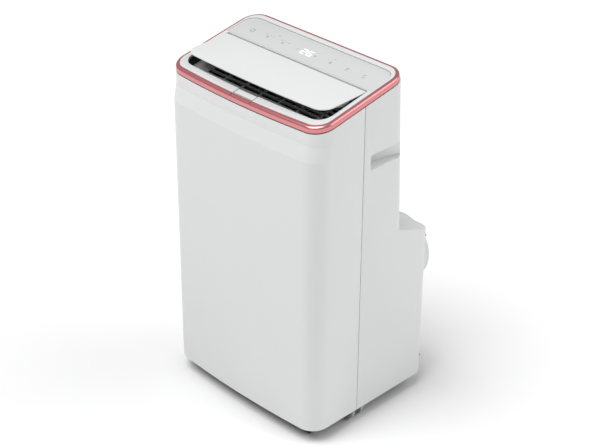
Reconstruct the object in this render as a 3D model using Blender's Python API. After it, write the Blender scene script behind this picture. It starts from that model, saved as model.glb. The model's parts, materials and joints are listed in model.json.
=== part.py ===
"""Portable air conditioner, as the separate pieces it comes apart into.

Metres, +Z up. The front looks along -Y and +X is on the viewer's right. The origin is on the
floor, under the middle of the whole machine, exhaust collar included.
"""

import math

import bmesh
import bpy
from mathutils import Matrix, Vector

# Driving dimensions of the casing.
HALF_W = 0.215
FACE_Y = -0.1905
BOW = 0.0065
BULGE = 0.007
FRONT_Y = FACE_Y + BOW + BULGE
SEAM_Y = FRONT_Y + 0.1245
BACK_TOP_Y = FRONT_Y + 0.243
BACK_LOW_Y = FRONT_Y + 0.258
BOX_Y = FRONT_Y + 0.342
COLLAR_Y = -FACE_Y
BODY_Z = 0.032
LEDGE_LOW_Z = 0.6584
LEDGE_TOP_Z = 0.6904
TOP_Z = 0.7314
TRIM_H = 0.014
TILT = math.radians(11.2)
RISE = math.tan(TILT)
CORNER_R = 0.040
BACK_R = 0.034
WALL = 0.003
GAP = 0.0003
REVEAL = 0.001
ARC_STEPS = 6
BOW_STEPS = 10
REACH = 0.02
SHARP_ANGLE = math.radians(32)
SOFT_ANGLE = math.radians(40)

# Rear box: its lid falls towards the back.
LID_FALL = 0.3675
LID_FRONT_Z = 0.431
LID_BACK_Z = 0.400
LID_WALL = 1.07 * WALL

# Air outlet and flap, in the tilted frame of the top: x, v up the slope, n out of the top.
MOUTH_X = 0.197
MOUTH_V = (0.0235, 0.153)
MOUTH_R = 0.030
MOUTH_BOW = 0.0045
MOUTH_REAR_R = 0.004
HINGE_V = 0.149
HINGE_N = -0.006
BEARING_X = (0.190, 0.2088)
BEARING_FRONT = 0.0045
BEARING_ROOF = 0.0035
FLAP_OPEN = math.radians(9.0)
FLAP_SHORT = 0.0068
FLAP_T = 0.003
FLAP_CLEAR = 0.0015
BARREL_R = 0.0035
PIN_R = 0.0022
PIN_REACH = 0.0070
ARM_X = (0.183, 0.1865)
ARM_V = (-0.020, -0.090)
ARM_N = (0.0026, 0.0036)
ARM_DIP = 0.011
ARM_STEPS = 8
GRILLE_N = (-0.0275, -0.0240)
GRILLE_REAR_V = 0.1405
GRILLE_SLOTS_V = (0.048, 0.136)
DUCT_N = (-0.055, -0.0058)
DUCT_WALL = 0.002
DUCT_CLEAR = 0.0005
GRILLE_SLOT_END = 0.012
GRILLE_BAR = 0.0045
VANE_PITCH = 0.0514
RIB_T = 0.004
VANES = 7
VANE_V = 0.085
VANE_ARM = 0.014

# Control panel recess.
PANEL_X = 0.2035
PANEL_V = (0.155, 0.228)
PANEL_R = 0.028
PANEL_SINK = 0.0015
PANEL_FRONT_R = 0.003
PANEL_RECESS_N = -0.0045
PANEL_FOOT_N = -0.0042
PANEL_GAP = 0.0007
FLUSH_N = -0.0001

# Key board under the panel, with its block of digits.
BOARD_X = 0.180
BOARD_V = (0.168, 0.215)
BOARD_N = (-0.0105, -0.0089)
DIGITS_X = 0.016
DIGITS_V = (0.180, 0.196)
DIGITS_TOP_N = -0.0058

# Small plate in the outlet's front lip.
LIP_X = (-0.0235, 0.0315)
LIP_V = (0.0024, 0.0190)
LIP_DEPTH = 0.0022
LIP_GAP = 0.0004

# Rear openings and fittings.
INTAKE_X = 0.150
INTAKE_Z = (0.470, 0.690)
INTAKE_CUT_Y = (0.050, 0.110)
COLLAR_X = 0.115
COLLAR_Z = 0.300
COLLAR_R = (0.0700, 0.0750)
COLLAR_SEAT = 0.002
COIL_WINDOW_X = (-0.175, 0.020)
COIL_WINDOW_Z = (0.090, 0.350)
GRIP_Y = (-0.033, 0.0625)
GRIP_Z = (0.597, 0.631)
GRIP_DEPTH = 0.031
GRIP_RUNOUT = 0.0095
GRIP_POCKET_TAIL = ((0.2020, 0.062), (0.2060, 0.060))
GRIP_POCKET_END_Y = 0.036
PORT_CLEAR = 0.0006

# Casters: swivel axes, and the twin wheels that trail them.
CASTERS = {
    "front_left": (-0.176, -0.042),
    "front_right": (0.176, -0.042),
    "rear_left": (-0.150, 0.118),
    "rear_right": (0.150, 0.118),
}
WHEEL_R = 0.020
WHEEL_HALF = 0.0175
TRAIL = 0.014
SWING_R = 0.038
PAN_Z = (0.034, 0.053)
PAN_GAP = 0.0025
PAN_FLOOR = 0.004
PAN_POCKETS = (((-0.195, -0.172), (0.195, -0.092)), ((-0.035, -0.084), (0.128, 0.074)),
               ((-0.104, 0.096), (0.104, 0.150)))
WELL_ROOF = 0.005
STEM_BORE_R = (0.0058, 0.0056)
STEM_R = 0.0045
CASTER_COLLAR_R = 0.0125
HUB_R = 0.0165
FORK_HALF = 0.006
AXLE_BORE_R = 0.0035
HUB_HALF = 0.0085
FOOT_X = (0.145, 0.178)
FOOT_Y = (-0.158, -0.125)
FOOT_Z = 0.003

# Machinery.
COMPRESSOR = (-0.115, 0.020)
BLOWER_LOW = (0.015, 0.235)
BLOWER_HIGH_Z = 0.530
SCROLL_WALL = 0.0025
BEND_REACH = 0.011
BEND_HALF = 0.34

FINISHES = {
    "white_plastic": ((0.86, 0.87, 0.87), 0.35, 0.0),
    "panel_gloss": ((0.78, 0.79, 0.79), 0.15, 0.0),
    "rose_trim": ((0.80, 0.36, 0.36), 0.25, 1.0),
    "dark_plastic": ((0.09, 0.09, 0.09), 0.5, 0.0),
    "black_plastic": ((0.02, 0.02, 0.02), 0.55, 0.0),
    "grey_plastic": ((0.55, 0.55, 0.55), 0.45, 0.0),
    "rubber": ((0.03, 0.03, 0.03), 0.8, 0.0),
    "steel": ((0.55, 0.56, 0.58), 0.35, 1.0),
    "black_steel": ((0.03, 0.03, 0.035), 0.4, 0.6),
    "copper": ((0.72, 0.38, 0.24), 0.3, 1.0),
    "aluminium": ((0.78, 0.79, 0.80), 0.4, 1.0),
    "circuit": ((0.03, 0.22, 0.10), 0.5, 0.0),
    "filter_mesh": ((0.35, 0.38, 0.42), 0.8, 0.0),
}


# ---- Helpers: meshes, objects and Booleans ----

def finish(name):
    """The Principled material of that name, made once."""
    found = bpy.data.materials.get(name)
    if found:
        return found
    colour, roughness, metallic = FINISHES[name]
    made = bpy.data.materials.new(name)
    made.use_nodes = True
    shader = made.node_tree.nodes["Principled BSDF"]
    shader.inputs["Base Color"].default_value = (*colour, 1.0)
    shader.inputs["Roughness"].default_value = roughness
    shader.inputs["Metallic"].default_value = metallic
    made.diffuse_color = (*colour, 1.0)
    return made


def piece(name, bm, material, parent=None):
    """A named object from a bmesh, with outward normals and smooth round faces."""
    bmesh.ops.recalc_face_normals(bm, faces=bm.faces)
    mesh = bpy.data.meshes.new(name)
    bm.to_mesh(mesh)
    bm.free()
    mesh.shade_smooth()
    mesh.set_sharp_from_angle(angle=SHARP_ANGLE)
    mesh.materials.append(finish(material))
    made = bpy.data.objects.new(name, mesh)
    bpy.context.scene.collection.objects.link(made)
    made.parent = parent
    return made


def helper(name, bm, parent=None):
    """A cutter or a shape to join, which isn't a piece of the machine."""
    made = piece(name, bm, "black_plastic", parent)
    made.hide_render = True
    made.display_type = "WIRE"
    return made


def boolean(target, other, operation):
    modifier = target.modifiers.new(operation.title(), "BOOLEAN")
    modifier.operation = operation
    modifier.solver = "EXACT"
    modifier.object = other


def cut(target, bm, parent=None):
    boolean(target, helper(target.name + "_cut", bm, parent), "DIFFERENCE")


def join(target, bm, parent=None):
    boolean(target, helper(target.name + "_add", bm, parent), "UNION")


def soften(target, width, segments=2):
    modifier = target.modifiers.new("Bevel", "BEVEL")
    modifier.width = width
    modifier.segments = segments
    modifier.limit_method = "ANGLE"
    modifier.angle_limit = SOFT_ANGLE


def block(low, high, bm=None):
    """A box between two corners, added to bm."""
    bm = bm or bmesh.new()
    low, high = Vector(low), Vector(high)
    place = Matrix.Translation((low + high) / 2) @ Matrix.Diagonal((*(high - low), 1.0))
    bmesh.ops.create_cube(bm, size=1.0, matrix=place)
    return bm


def rod(start, end, radius, segments=16, bm=None):
    """A capped cylinder between two points, added to bm."""
    bm = bm or bmesh.new()
    start, end = Vector(start), Vector(end)
    turn = (end - start).to_track_quat("Z", "Y").to_matrix().to_4x4()
    place = Matrix.Translation((start + end) / 2) @ turn
    bmesh.ops.create_cone(bm, cap_ends=True, segments=segments, radius1=radius,
                          radius2=radius, depth=(end - start).length, matrix=place)
    return bm


def turned(profile, steps=24, place=Matrix()):
    """A closed (radius, height) profile turned about Z, then placed."""
    bm = bmesh.new()
    ring = [bm.verts.new((r, 0.0, z)) for r, z in profile]
    edges = [bm.edges.new((a, b)) for a, b in zip(ring, ring[1:] + ring[:1])]
    bmesh.ops.spin(bm, geom=ring + edges, cent=(0, 0, 0), axis=(0, 0, 1),
                   steps=steps, angle=math.tau, use_merge=True)
    bmesh.ops.remove_doubles(bm, verts=bm.verts, dist=1e-6)
    loose = [e for e in bm.edges if not e.link_faces]
    bmesh.ops.delete(bm, geom=loose, context="EDGES")
    bmesh.ops.transform(bm, matrix=place, verts=bm.verts)
    return bm


def stack(rings, looped=False, capped=False):
    """Skins between rings of equally many points; looped joins the last ring to the first."""
    bm = bmesh.new()
    rows = [[bm.verts.new(p) for p in ring] for ring in rings]
    pairs = list(zip(rows, rows[1:])) + ([(rows[-1], rows[0])] if looped else [])
    for low, high in pairs:
        wrap = looped or capped
        count = len(low) if wrap else len(low) - 1
        for i in range(count):
            j = (i + 1) % len(low)
            bm.faces.new((low[i], low[j], high[j], high[i]))
    if capped:
        bm.faces.new(rows[0][::-1])
        bm.faces.new(rows[-1])
    return bm


def extruded(outline, low, high, axis="Z"):
    """A flat outline given thickness along an axis; (a, b) are the other two axes in order."""
    spots = {"X": lambda a, b, c: (c, a, b), "Y": lambda a, b, c: (a, c, b),
             "Z": lambda a, b, c: (a, b, c)}[axis]
    return stack([[spots(a, b, level) for a, b in outline] for level in (low, high)],
                 capped=True)


def arc(cx, cy, radius, start, end, steps=ARC_STEPS):
    """Points on an arc, angles in degrees."""
    return [(cx + radius * math.cos(math.radians(start + (end - start) * i / steps)),
             cy + radius * math.sin(math.radians(start + (end - start) * i / steps)))
            for i in range(steps + 1)]


def bowed(x0, x1, y, bow, steps=BOW_STEPS):
    """Points between the ends of a front edge that bows out by bow at its middle."""
    spots = [i / steps for i in range(1, steps)] if bow else []
    return [(x0 + (x1 - x0) * t, y - 4 * bow * t * (1 - t)) for t in spots]


def rounded(x0, y0, x1, y1, low_r, high_r, bow=0.0, steps=ARC_STEPS):
    """A rectangle with one corner radius on its low-y side and another on its high-y side."""
    return (arc(x1 - low_r, y0 + low_r, low_r, -90, 0, steps)
            + arc(x1 - high_r, y1 - high_r, high_r, 0, 90, steps)
            + arc(x0 + high_r, y1 - high_r, high_r, 90, 180, steps)
            + arc(x0 + low_r, y0 + low_r, low_r, 180, 270, steps)
            + bowed(x0 + low_r, x1 - low_r, y0, bow))


def mouth_outline(grow, rear, front_r, rear_r, shift=0.0):
    """The outlet's outline drawn out by grow, with its rear edge at v = rear, all shifted in v."""
    return rounded(-MOUTH_X - grow, MOUTH_V[0] - grow + shift, MOUTH_X + grow, rear + shift,
                   front_r, rear_r, MOUTH_BOW)


def top_z(y, height=0.0):
    """The height of the tilted top above the floor at depth y."""
    return TOP_Z + (y - FRONT_Y) * RISE + height


def top_ring(inset, height):
    """The outline of the top, drawn in by inset and lying height above its surface."""
    outline = rounded(-HALF_W + inset, FRONT_Y + inset, HALF_W - inset, BACK_TOP_Y - inset,
                      CORNER_R - inset, CORNER_R - inset, BOW)
    return [(x, y, top_z(y, height)) for x, y in outline]


def slots(columns, rows, low, high, bm=None):
    """Boxes for a grid of slots: columns and rows are (from, to) spans on x and y."""
    bm = bm or bmesh.new()
    for x0, x1 in columns:
        for y0, y1 in rows:
            block((x0, y0, low), (x1, y1, high), bm)
    return bm


def spans(first, last, count, gap):
    """count equal spans between two values, with a gap between neighbours."""
    step = (last - first + gap) / count
    return [(first + i * step, first + (i + 1) * step - gap) for i in range(count)]


def empty(name, matrix, parent=None):
    made = bpy.data.objects.new(name, None)
    bpy.context.scene.collection.objects.link(made)
    made.parent = parent
    made.matrix_basis = matrix
    return made


def smooth_path(points, per_span=3):
    """A Catmull-Rom curve through the points of a pipe."""
    ends = [2 * points[0] - points[1]] + points + [2 * points[-1] - points[-2]]
    found = []
    for a, b, c, d in zip(ends, ends[1:], ends[2:], ends[3:]):
        for i in range(per_span):
            t = i / per_span
            found.append(0.5 * (2 * b + (c - a) * t + (2 * a - 5 * b + 4 * c - d) * t ** 2
                                + (3 * b - a - 3 * c + d) * t ** 3))
    return found + [points[-1]]


def pipe(name, points, radius, material="copper"):
    path = smooth_path([Vector(p) for p in points])
    curve = bpy.data.curves.new(name, "CURVE")
    curve.dimensions = "3D"
    curve.bevel_depth = radius
    curve.bevel_resolution = 2
    curve.use_fill_caps = True
    spline = curve.splines.new("POLY")
    spline.points.add(len(path) - 1)
    for spot, p in zip(spline.points, path):
        spot.co = (*p, 1.0)
    curve.materials.append(finish(material))
    made = bpy.data.objects.new(name, curve)
    bpy.context.scene.collection.objects.link(made)
    return made


# ---- Casing ----

def shell(name, levels):
    """A U-shaped wall: the solid through the levels, less the same solid drawn in by the wall.

    A level is (plan, height): plan(inset, reach) gives the outline, and height(y, inset) its z.
    """
    outer = [[(x, y, height(y, 0.0)) for x, y in plan(0.0, 0.0)] for plan, height in levels]
    inner = [[(x, y, height(y, WALL)) for x, y in plan(WALL, REACH)] for plan, height in levels]
    inner[0] = [(x, y, z - REACH) for x, y, z in inner[0]]
    inner[-1] = [(x, y, z + REACH) for x, y, z in inner[-1]]
    made = piece(name, stack(outer, capped=True), "white_plastic")
    cut(made, stack(inner, capped=True))
    return made


def front_panel():
    """The front shell: its face stands proud below a sloping ledge."""
    def plan(bulge):
        def outline(inset, reach):
            side, r = HALF_W - CORNER_R, CORNER_R - inset
            y, x = FRONT_Y - bulge + CORNER_R, HALF_W - inset
            return ([(x, SEAM_Y - GAP + reach)] + arc(side, y, r, 0, -90)
                    + bowed(side, -side, y - r, BOW)
                    + arc(-side, y, r, -90, -180) + [(-x, SEAM_Y - GAP + reach)])
        return outline

    return shell("front_panel", [
        (plan(BULGE), lambda y, inset: BODY_Z),
        (plan(BULGE), lambda y, inset: LEDGE_LOW_Z),
        (plan(0.0), lambda y, inset: LEDGE_TOP_Z),
        (plan(0.0), lambda y, inset: top_z(y, -TRIM_H - REVEAL))])


def grip_outline(side):
    """Plan of a grip recess: deep at its front end, running out on the rear corner."""
    x = [HALF_W + REACH, HALF_W - GRIP_DEPTH, HALF_W - GRIP_RUNOUT, HALF_W + REACH]
    y = [GRIP_Y[0], GRIP_Y[0], GRIP_Y[1], GRIP_Y[1]]
    return [(side * a, b) for a, b in zip(x, y)]


def grip_pocket(side):
    """Plan of the moulded wall behind a grip recess."""
    inner = HALF_W - WALL / 2
    deep = HALF_W - GRIP_DEPTH - WALL
    spots = [(inner, GRIP_Y[0] - WALL), (deep, GRIP_Y[0] - WALL), (deep, GRIP_Y[0]),
             *GRIP_POCKET_TAIL, (inner, GRIP_POCKET_END_Y)]
    return [(side * x, y) for x, y in spots]


def rear_shell():
    """The rear shell: sides, slanting back, and the deeper box with its falling lid."""
    def plan(back):
        def outline(inset, reach):
            side, r = HALF_W - BACK_R, BACK_R - inset
            y, x = back - BACK_R, HALF_W - inset
            return ([(-x, SEAM_Y + GAP - reach)] + arc(-side, y, r, 180, 90)
                    + arc(side, y, r, 90, 0) + [(x, SEAM_Y + GAP - reach)])
        return outline

    def lid(edge_z, flat_y):
        return lambda y, inset: (edge_z - (LID_WALL if inset else 0.0)
                                 - LID_FALL * max(0.0, y - flat_y))

    made = shell("rear_shell", [
        (plan(BOX_Y), lambda y, inset: BODY_Z),
        (plan(BOX_Y), lid(LID_BACK_Z, BOX_Y - BACK_R)),
        (plan(BACK_LOW_Y), lid(LID_FRONT_Z, BACK_LOW_Y - BACK_R)),
        (plan(BACK_TOP_Y), lambda y, inset: top_z(y, -TRIM_H - REVEAL))])
    for side in (-1, 1):
        join(made, extruded(grip_pocket(side), GRIP_Z[0] - WALL, GRIP_Z[1] + WALL))
        cut(made, extruded(grip_outline(side), *GRIP_Z))
    windows = block((-INTAKE_X, INTAKE_CUT_Y[0], INTAKE_Z[0]),
                    (INTAKE_X, INTAKE_CUT_Y[1], INTAKE_Z[1]))
    block((COIL_WINDOW_X[0], BOX_Y - REACH, COIL_WINDOW_Z[0]),
          (COIL_WINDOW_X[1], BOX_Y + REACH, COIL_WINDOW_Z[1]), windows)
    rod((COLLAR_X, BOX_Y - REACH, COLLAR_Z), (COLLAR_X, BOX_Y + REACH, COLLAR_Z),
        COLLAR_R[0] - COLLAR_SEAT, 40, windows)
    rod((DRAIN[0], BOX_Y - REACH, DRAIN[1]), (DRAIN[0], BOX_Y + REACH, DRAIN[1]),
        DRAIN_R + PORT_CLEAR, 16, windows)
    rod((GLAND[0], BOX_Y - REACH, GLAND[1]), (GLAND[0], BOX_Y + REACH, GLAND[1]),
        GLAND_R + PORT_CLEAR, 16, windows)
    cut(made, windows)
    return made


def trim_ring():
    """The rose metal band round the top: a skirt that turns in over the cover's edge."""
    profile = [(0.0, -0.014), (0.0, -0.0055), (0.0009, -0.0030), (0.0028, -0.0012),
               (0.0055, -0.0003), (0.0080, 0.0), (0.0080, -0.0020), (0.0030, -0.0026),
               (0.0030, -0.014)]
    rings = [top_ring(inset, height) for inset, height in profile]
    return piece("trim_ring", stack(rings, looped=True), "rose_trim")


def top_cover(top):
    """The moulded top: a plate with a skirt, open over the outlet and sunk for the panel."""
    outer = [(0.0058, -0.030), (0.0033, -0.030), (0.0033, -0.0029), (0.0083, -0.0029),
             (0.0083, 0.0)]
    inner = [(0.0058, -0.030), (0.0058, -0.0052)]
    rings = [top_ring(i, h) for i, h in reversed(inner[1:])] + [top_ring(i, h) for i, h in outer]
    made = piece("top_cover", stack(rings, capped=True), "white_plastic")
    cut(made, extruded(mouth_outline(0.0, MOUTH_V[1], MOUTH_R, MOUTH_REAR_R), -REACH, REACH), top)
    recess = rounded(-PANEL_X, PANEL_V[0], PANEL_X, PANEL_V[1], PANEL_FRONT_R, PANEL_R)
    cut(made, extruded(recess, PANEL_RECESS_N, REACH), top)
    notch = block((LIP_X[0], LIP_V[0], -LIP_DEPTH), (LIP_X[1], MOUTH_V[0] + REACH / 2, REACH))
    cut(made, notch, top)
    bearings = bmesh.new()
    for side in (-1, 1):
        x0, x1 = sorted(side * x for x in BEARING_X)
        block((x0, HINGE_V - BEARING_FRONT, -REACH),
              (x1, HINGE_V + BEARING_ROOF, HINGE_N + BEARING_ROOF), bearings)
    cut(made, bearings, top)
    return made


def lip_insert(top):
    """The small plate set in the front lip of the outlet."""
    bm = block((LIP_X[0] + LIP_GAP, LIP_V[0] + LIP_GAP, GAP - LIP_DEPTH),
               (LIP_X[1] - LIP_GAP, LIP_V[1] - LIP_GAP, FLUSH_N))
    return piece("lip_insert", bm, "white_plastic", top)


def control_panel(top):
    """The glossy touch panel; its face sinks a little towards the back."""
    gap = PANEL_GAP
    outline = rounded(-PANEL_X + gap, PANEL_V[0] + gap, PANEL_X - gap, PANEL_V[1] - gap,
                      PANEL_FRONT_R, PANEL_R - gap)
    span = PANEL_V[1] - PANEL_V[0]
    low = [(x, v, PANEL_FOOT_N) for x, v in outline]
    high = [(x, v, FLUSH_N - PANEL_SINK * (v - PANEL_V[0]) / span) for x, v in outline]
    return piece("control_panel", stack([low, high], capped=True), "panel_gloss", top)


def display_board(top):
    """The circuit board under the panel, with the digit block on it."""
    made = piece("display_board", block((-BOARD_X, BOARD_V[0], BOARD_N[0]),
                                        (BOARD_X, BOARD_V[1], BOARD_N[1])), "circuit", top)
    join(made, block((-DIGITS_X, DIGITS_V[0], BOARD_N[1] - GAP),
                     (DIGITS_X, DIGITS_V[1], DIGITS_TOP_N)), top)
    return made


def base_pan():
    """The bottom tray: pockets in its top face, and a round well under it for each caster."""
    inset = WALL + PAN_GAP
    outline = rounded(-HALF_W + inset, FRONT_Y - BULGE + inset, HALF_W - inset, BOX_Y - inset,
                      CORNER_R - inset, BACK_R - inset, BOW)
    made = piece("base_pan", extruded(outline, *PAN_Z), "dark_plastic")
    pockets = bmesh.new()
    for low, high in PAN_POCKETS:
        block((*low, PAN_Z[0] + PAN_FLOOR), (*high, PAN_Z[1] + REACH), pockets)
    cut(made, pockets)
    wells = bmesh.new()
    for x, y in CASTERS.values():
        rod((x, y, PAN_Z[0] - REACH), (x, y, PAN_Z[1] - WELL_ROOF), SWING_R, 18, wells)
        rod((x, y, PAN_Z[1] - 0.004), (x, y, PAN_Z[1] + REACH), STEM_BORE_R[0], 8, wells)
    cut(made, wells)
    bores = bmesh.new()
    for x, y in CASTERS.values():
        rod((x, y, PAN_Z[1] - 0.008), (x, y, PAN_Z[1] + 0.01), STEM_BORE_R[1], 8, bores)
    cut(made, bores)
    return made


def front_foot(name, side):
    """A black foot that stops the machine tipping forward off its casters."""
    low_x, high_x = sorted(side * x for x in FOOT_X)
    made = piece(name, block((low_x, FOOT_Y[0], FOOT_Z), (high_x, FOOT_Y[1], PAN_Z[0] - GAP)),
                 "rubber")
    soften(made, 0.002)
    return made


def caster(name, x, y):
    """A twin-wheel caster: a swivel body with its stem, and the wheels on their axle."""
    pivot = empty(name + "_swivel", Matrix.Translation((x, y, 0.0)))
    body = piece(name, rod((0, 0, 0.040), (0, 0, PAN_Z[1] - 0.0056), CASTER_COLLAR_R, 14),
                 "grey_plastic", pivot)
    join(body, rod((0, 0, 0.041), (0, 0, PAN_Z[1] + 0.003), STEM_R, 8), pivot)
    hub = rod((TRAIL, -FORK_HALF, WHEEL_R), (TRAIL, FORK_HALF, WHEEL_R), HUB_R, 16)
    join(body, hub, pivot)
    join(body, block((-0.004, -FORK_HALF, 0.024), (0.010, FORK_HALF, 0.042)), pivot)
    cut(body, rod((TRAIL, -REACH, WHEEL_R), (TRAIL, REACH, WHEEL_R), AXLE_BORE_R, 10), pivot)
    axle = empty(name + "_axle", Matrix.Translation((TRAIL, 0.0, WHEEL_R)), pivot)
    r, half = WHEEL_R, WHEEL_HALF
    profile = [(0.0, -half + 0.003), (0.010, -half + 0.002), (0.012, -half), (r - 0.003, -half),
               (r, -half + 0.003), (r, -HUB_HALF), (0.003, -HUB_HALF), (0.003, HUB_HALF), (r, HUB_HALF),
               (r, half - 0.003), (r - 0.003, half), (0.012, half), (0.010, half - 0.002),
               (0.0, half - 0.003)]
    wheels = turned(profile, 18, Matrix.Rotation(math.radians(90), 4, "X"))
    piece(name + "_wheels", wheels, "grey_plastic", axle)


# ---- Air outlet ----

def outlet_duct(top):
    """The dark throat under the cover's mouth, open above and below."""
    wall, clear = DUCT_WALL, DUCT_CLEAR
    rear = MOUTH_V[1] - clear
    outline = mouth_outline(clear + wall, rear, MOUTH_R + wall, MOUTH_REAR_R)
    hole = mouth_outline(clear, rear - wall, MOUTH_R, 0.003)
    made = piece("outlet_duct", extruded(outline, *DUCT_N), "dark_plastic", top)
    cut(made, extruded(hole, DUCT_N[0] - 0.01, DUCT_N[1] + 0.01), top)
    cut(made, block((-0.25, 0.140, -0.0125), (0.25, 0.16, 0.01)), top)
    return made


def outlet_grille(top):
    """The fixed guard in the throat: long slots between cross ribs."""
    outline = mouth_outline(-DUCT_CLEAR, GRILLE_REAR_V, MOUTH_R - 0.001, 0.003)
    made = piece("outlet_grille", extruded(outline, *GRILLE_N), "dark_plastic", top)
    pitch = VANE_PITCH
    columns = [(i * pitch + RIB_T / 2, (i + 1) * pitch - RIB_T / 2) for i in range(-3, 3)]
    columns.append((3 * pitch + RIB_T / 2, MOUTH_X - GRILLE_SLOT_END))
    rows = spans(*GRILLE_SLOTS_V, 7, GRILLE_BAR)
    cut(made, slots(columns, rows, GRILLE_N[0] - 0.01, GRILLE_N[1] + 0.01), top)
    return made


def flap_arm(side):
    """A curved arm moulded under the flap near its end."""
    steps = [i / ARM_STEPS for i in range(1, ARM_STEPS)]
    low = [(ARM_V[0] + (ARM_V[1] - ARM_V[0]) * t, ARM_N[0] - ARM_DIP * math.sin(math.pi * t))
           for t in steps]
    outline = [(ARM_V[0], ARM_N[1])] + low + [(ARM_V[1], ARM_N[1])]
    x0, x1 = sorted(side * x for x in ARM_X)
    return extruded(outline, x0, x1, "X")


def outlet_flap(pivot):
    """The motor-driven flap that closes the mouth, hinged along its rear edge."""
    top_n = -HINGE_N
    clear = FLAP_CLEAR
    half = MOUTH_X - clear
    outline = mouth_outline(-clear, HINGE_V - clear - FLAP_SHORT, MOUTH_R - clear, 0.002,
                            FLAP_SHORT - HINGE_V)
    made = piece("outlet_flap", extruded(outline, top_n - FLAP_T, top_n), "white_plastic", pivot)
    join(made, rod((-half + 0.004, 0, 0), (half - 0.004, 0, 0), BARREL_R, 16), pivot)
    join(made, rod((-MOUTH_X - PIN_REACH, 0, 0), (MOUTH_X + PIN_REACH, 0, 0), PIN_R, 12), pivot)
    for side in (-1, 1):
        join(made, flap_arm(side), pivot)
    return made


def flap_motor(top):
    """The small geared motor that turns the flap's right-hand hinge pin."""
    centre = (HINGE_V, HINGE_N)
    made = piece("flap_motor", block((0.2025, 0.1455, -0.0300), (0.2085, 0.1515, -0.0030)),
                 "steel", top)
    cut(made, rod((0.19, *centre), (0.2050, *centre), 0.0028, 12), top)
    return made


def vane(name, x, top, shaft_end=-0.0540):
    """An upright vane under the guard that steers the air left and right."""
    pivot = empty(name + "_pivot", Matrix.Translation((x, VANE_V, 0.0)), top)
    made = piece(name, block((-0.001, -0.022, -0.0500), (0.001, 0.022, -0.0300)),
                 "black_plastic", pivot)
    join(made, rod((0, 0, -0.0310), (0, 0, GRILLE_N[0] - GAP), 0.0016, 8), pivot)
    join(made, rod((0, 0, -0.0490), (0, 0, shaft_end), 0.0016, 8), pivot)
    join(made, rod((0, -VANE_ARM, -0.0490), (0, -VANE_ARM, -0.0535), 0.0012, 8), pivot)
    return made


def vane_link(top):
    """The tie bar that turns all the vanes together."""
    reach = (VANES - 1) / 2 * VANE_PITCH + 0.006
    low, high = -0.0530, -0.0510
    v = VANE_V - VANE_ARM
    made = piece("vane_link", block((-reach, v - 0.005, low), (reach, v + 0.005, high)),
                 "black_plastic", top)
    holes = bmesh.new()
    for i in range(VANES):
        x = (i - (VANES - 1) / 2) * VANE_PITCH
        block((x - 0.0018, v - 0.0030, low - 0.01), (x + 0.0018, v + 0.0035, high + 0.01), holes)
    cut(made, holes, top)
    return made


def vane_motor(top):
    """The geared motor on the last vane's shaft; the tie bar carries its turn to the others."""
    x = (VANES - 1) / 2 * VANE_PITCH
    made = piece("vane_motor", rod((x, VANE_V, -0.0680), (x, VANE_V, -0.0550), 0.0120, 20),
                 "steel", top)
    cut(made, rod((x, VANE_V, -0.0640), (x, VANE_V, -0.0500), 0.0020, 10), top)
    return made


# ---- Back of the machine ----

BACK_SLANT = math.atan((BACK_LOW_Y - BACK_TOP_Y) / (top_z(BACK_TOP_Y) - LID_FRONT_Z))
DRAIN = (-0.060, 0.064)
DRAIN_R = 0.0085
GLAND = (0.172, 0.110)
GLAND_R = 0.0075
GLAND_BORE_R = 0.0042
HOOK_X = 0.168
HOOK_Z = 0.462


def back_y(z):
    """Depth of the slanting back's outer face at height z."""
    return BACK_TOP_Y + (top_z(BACK_TOP_Y, -TRIM_H) - z) * math.tan(BACK_SLANT)


def intake():
    """The tilt-out intake grille and the dust filter clipped behind it."""
    z0 = INTAKE_Z[0] + 0.0015
    height = INTAKE_Z[1] - INTAKE_Z[0] - 0.003
    place = (Matrix.Translation((0, back_y(z0) - 0.0045, z0))
             @ Matrix.Rotation(math.radians(90) + BACK_SLANT, 4, "X"))
    hinge = empty("intake_hinge", place)
    half = INTAKE_X - 0.0012
    grille = piece("intake_grille", block((-half, 0.0, -0.0040), (half, height, 0.0)),
                   "white_plastic", hinge)
    cut(grille, slots(spans(-half + 0.012, half - 0.012, 2, 0.010),
                      spans(0.012, height - 0.030, 13, 0.006), -0.02, 0.02), hinge)
    piece("air_filter", block((-half + 0.006, 0.006, GAP), (half - 0.006, height - 0.006, 0.0025)),
          "filter_mesh", hinge)


def condenser_grille():
    """The fixed grille over the lower coil."""
    x0, x1 = (COIL_WINDOW_X[0] + 0.0006, COIL_WINDOW_X[1] - 0.0006)
    z0, z1 = (COIL_WINDOW_Z[0] + 0.0006, COIL_WINDOW_Z[1] - 0.0006)
    place = Matrix.Translation((0, BOX_Y - 0.0005, 0)) @ Matrix.Rotation(math.radians(90), 4, "X")
    frame = empty("condenser_grille_frame", place)
    made = piece("condenser_grille", block((x0, z0, 0.0), (x1, z1, 0.0035)), "dark_plastic", frame)
    cut(made, slots(spans(x0 + 0.010, x1 - 0.010, 2, 0.008), spans(z0 + 0.010, z1 - 0.010, 15, 0.006),
                    -0.01, 0.01), frame)


def exhaust_collar():
    """The round collar that the exhaust hose twists onto."""
    r_in, r_out = COLLAR_R
    length = COLLAR_Y - BOX_Y
    profile = [(r_in, GAP), (0.0815, GAP), (0.0815, 0.0030), (r_out, 0.0045), (r_out, length - 0.001),
               (r_out - 0.001, length), (r_in, length)]
    place = (Matrix.Translation((COLLAR_X, BOX_Y, COLLAR_Z))
             @ Matrix.Rotation(math.radians(-90), 4, "X"))
    return piece("exhaust_collar", turned(profile, 36, place), "white_plastic")


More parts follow.
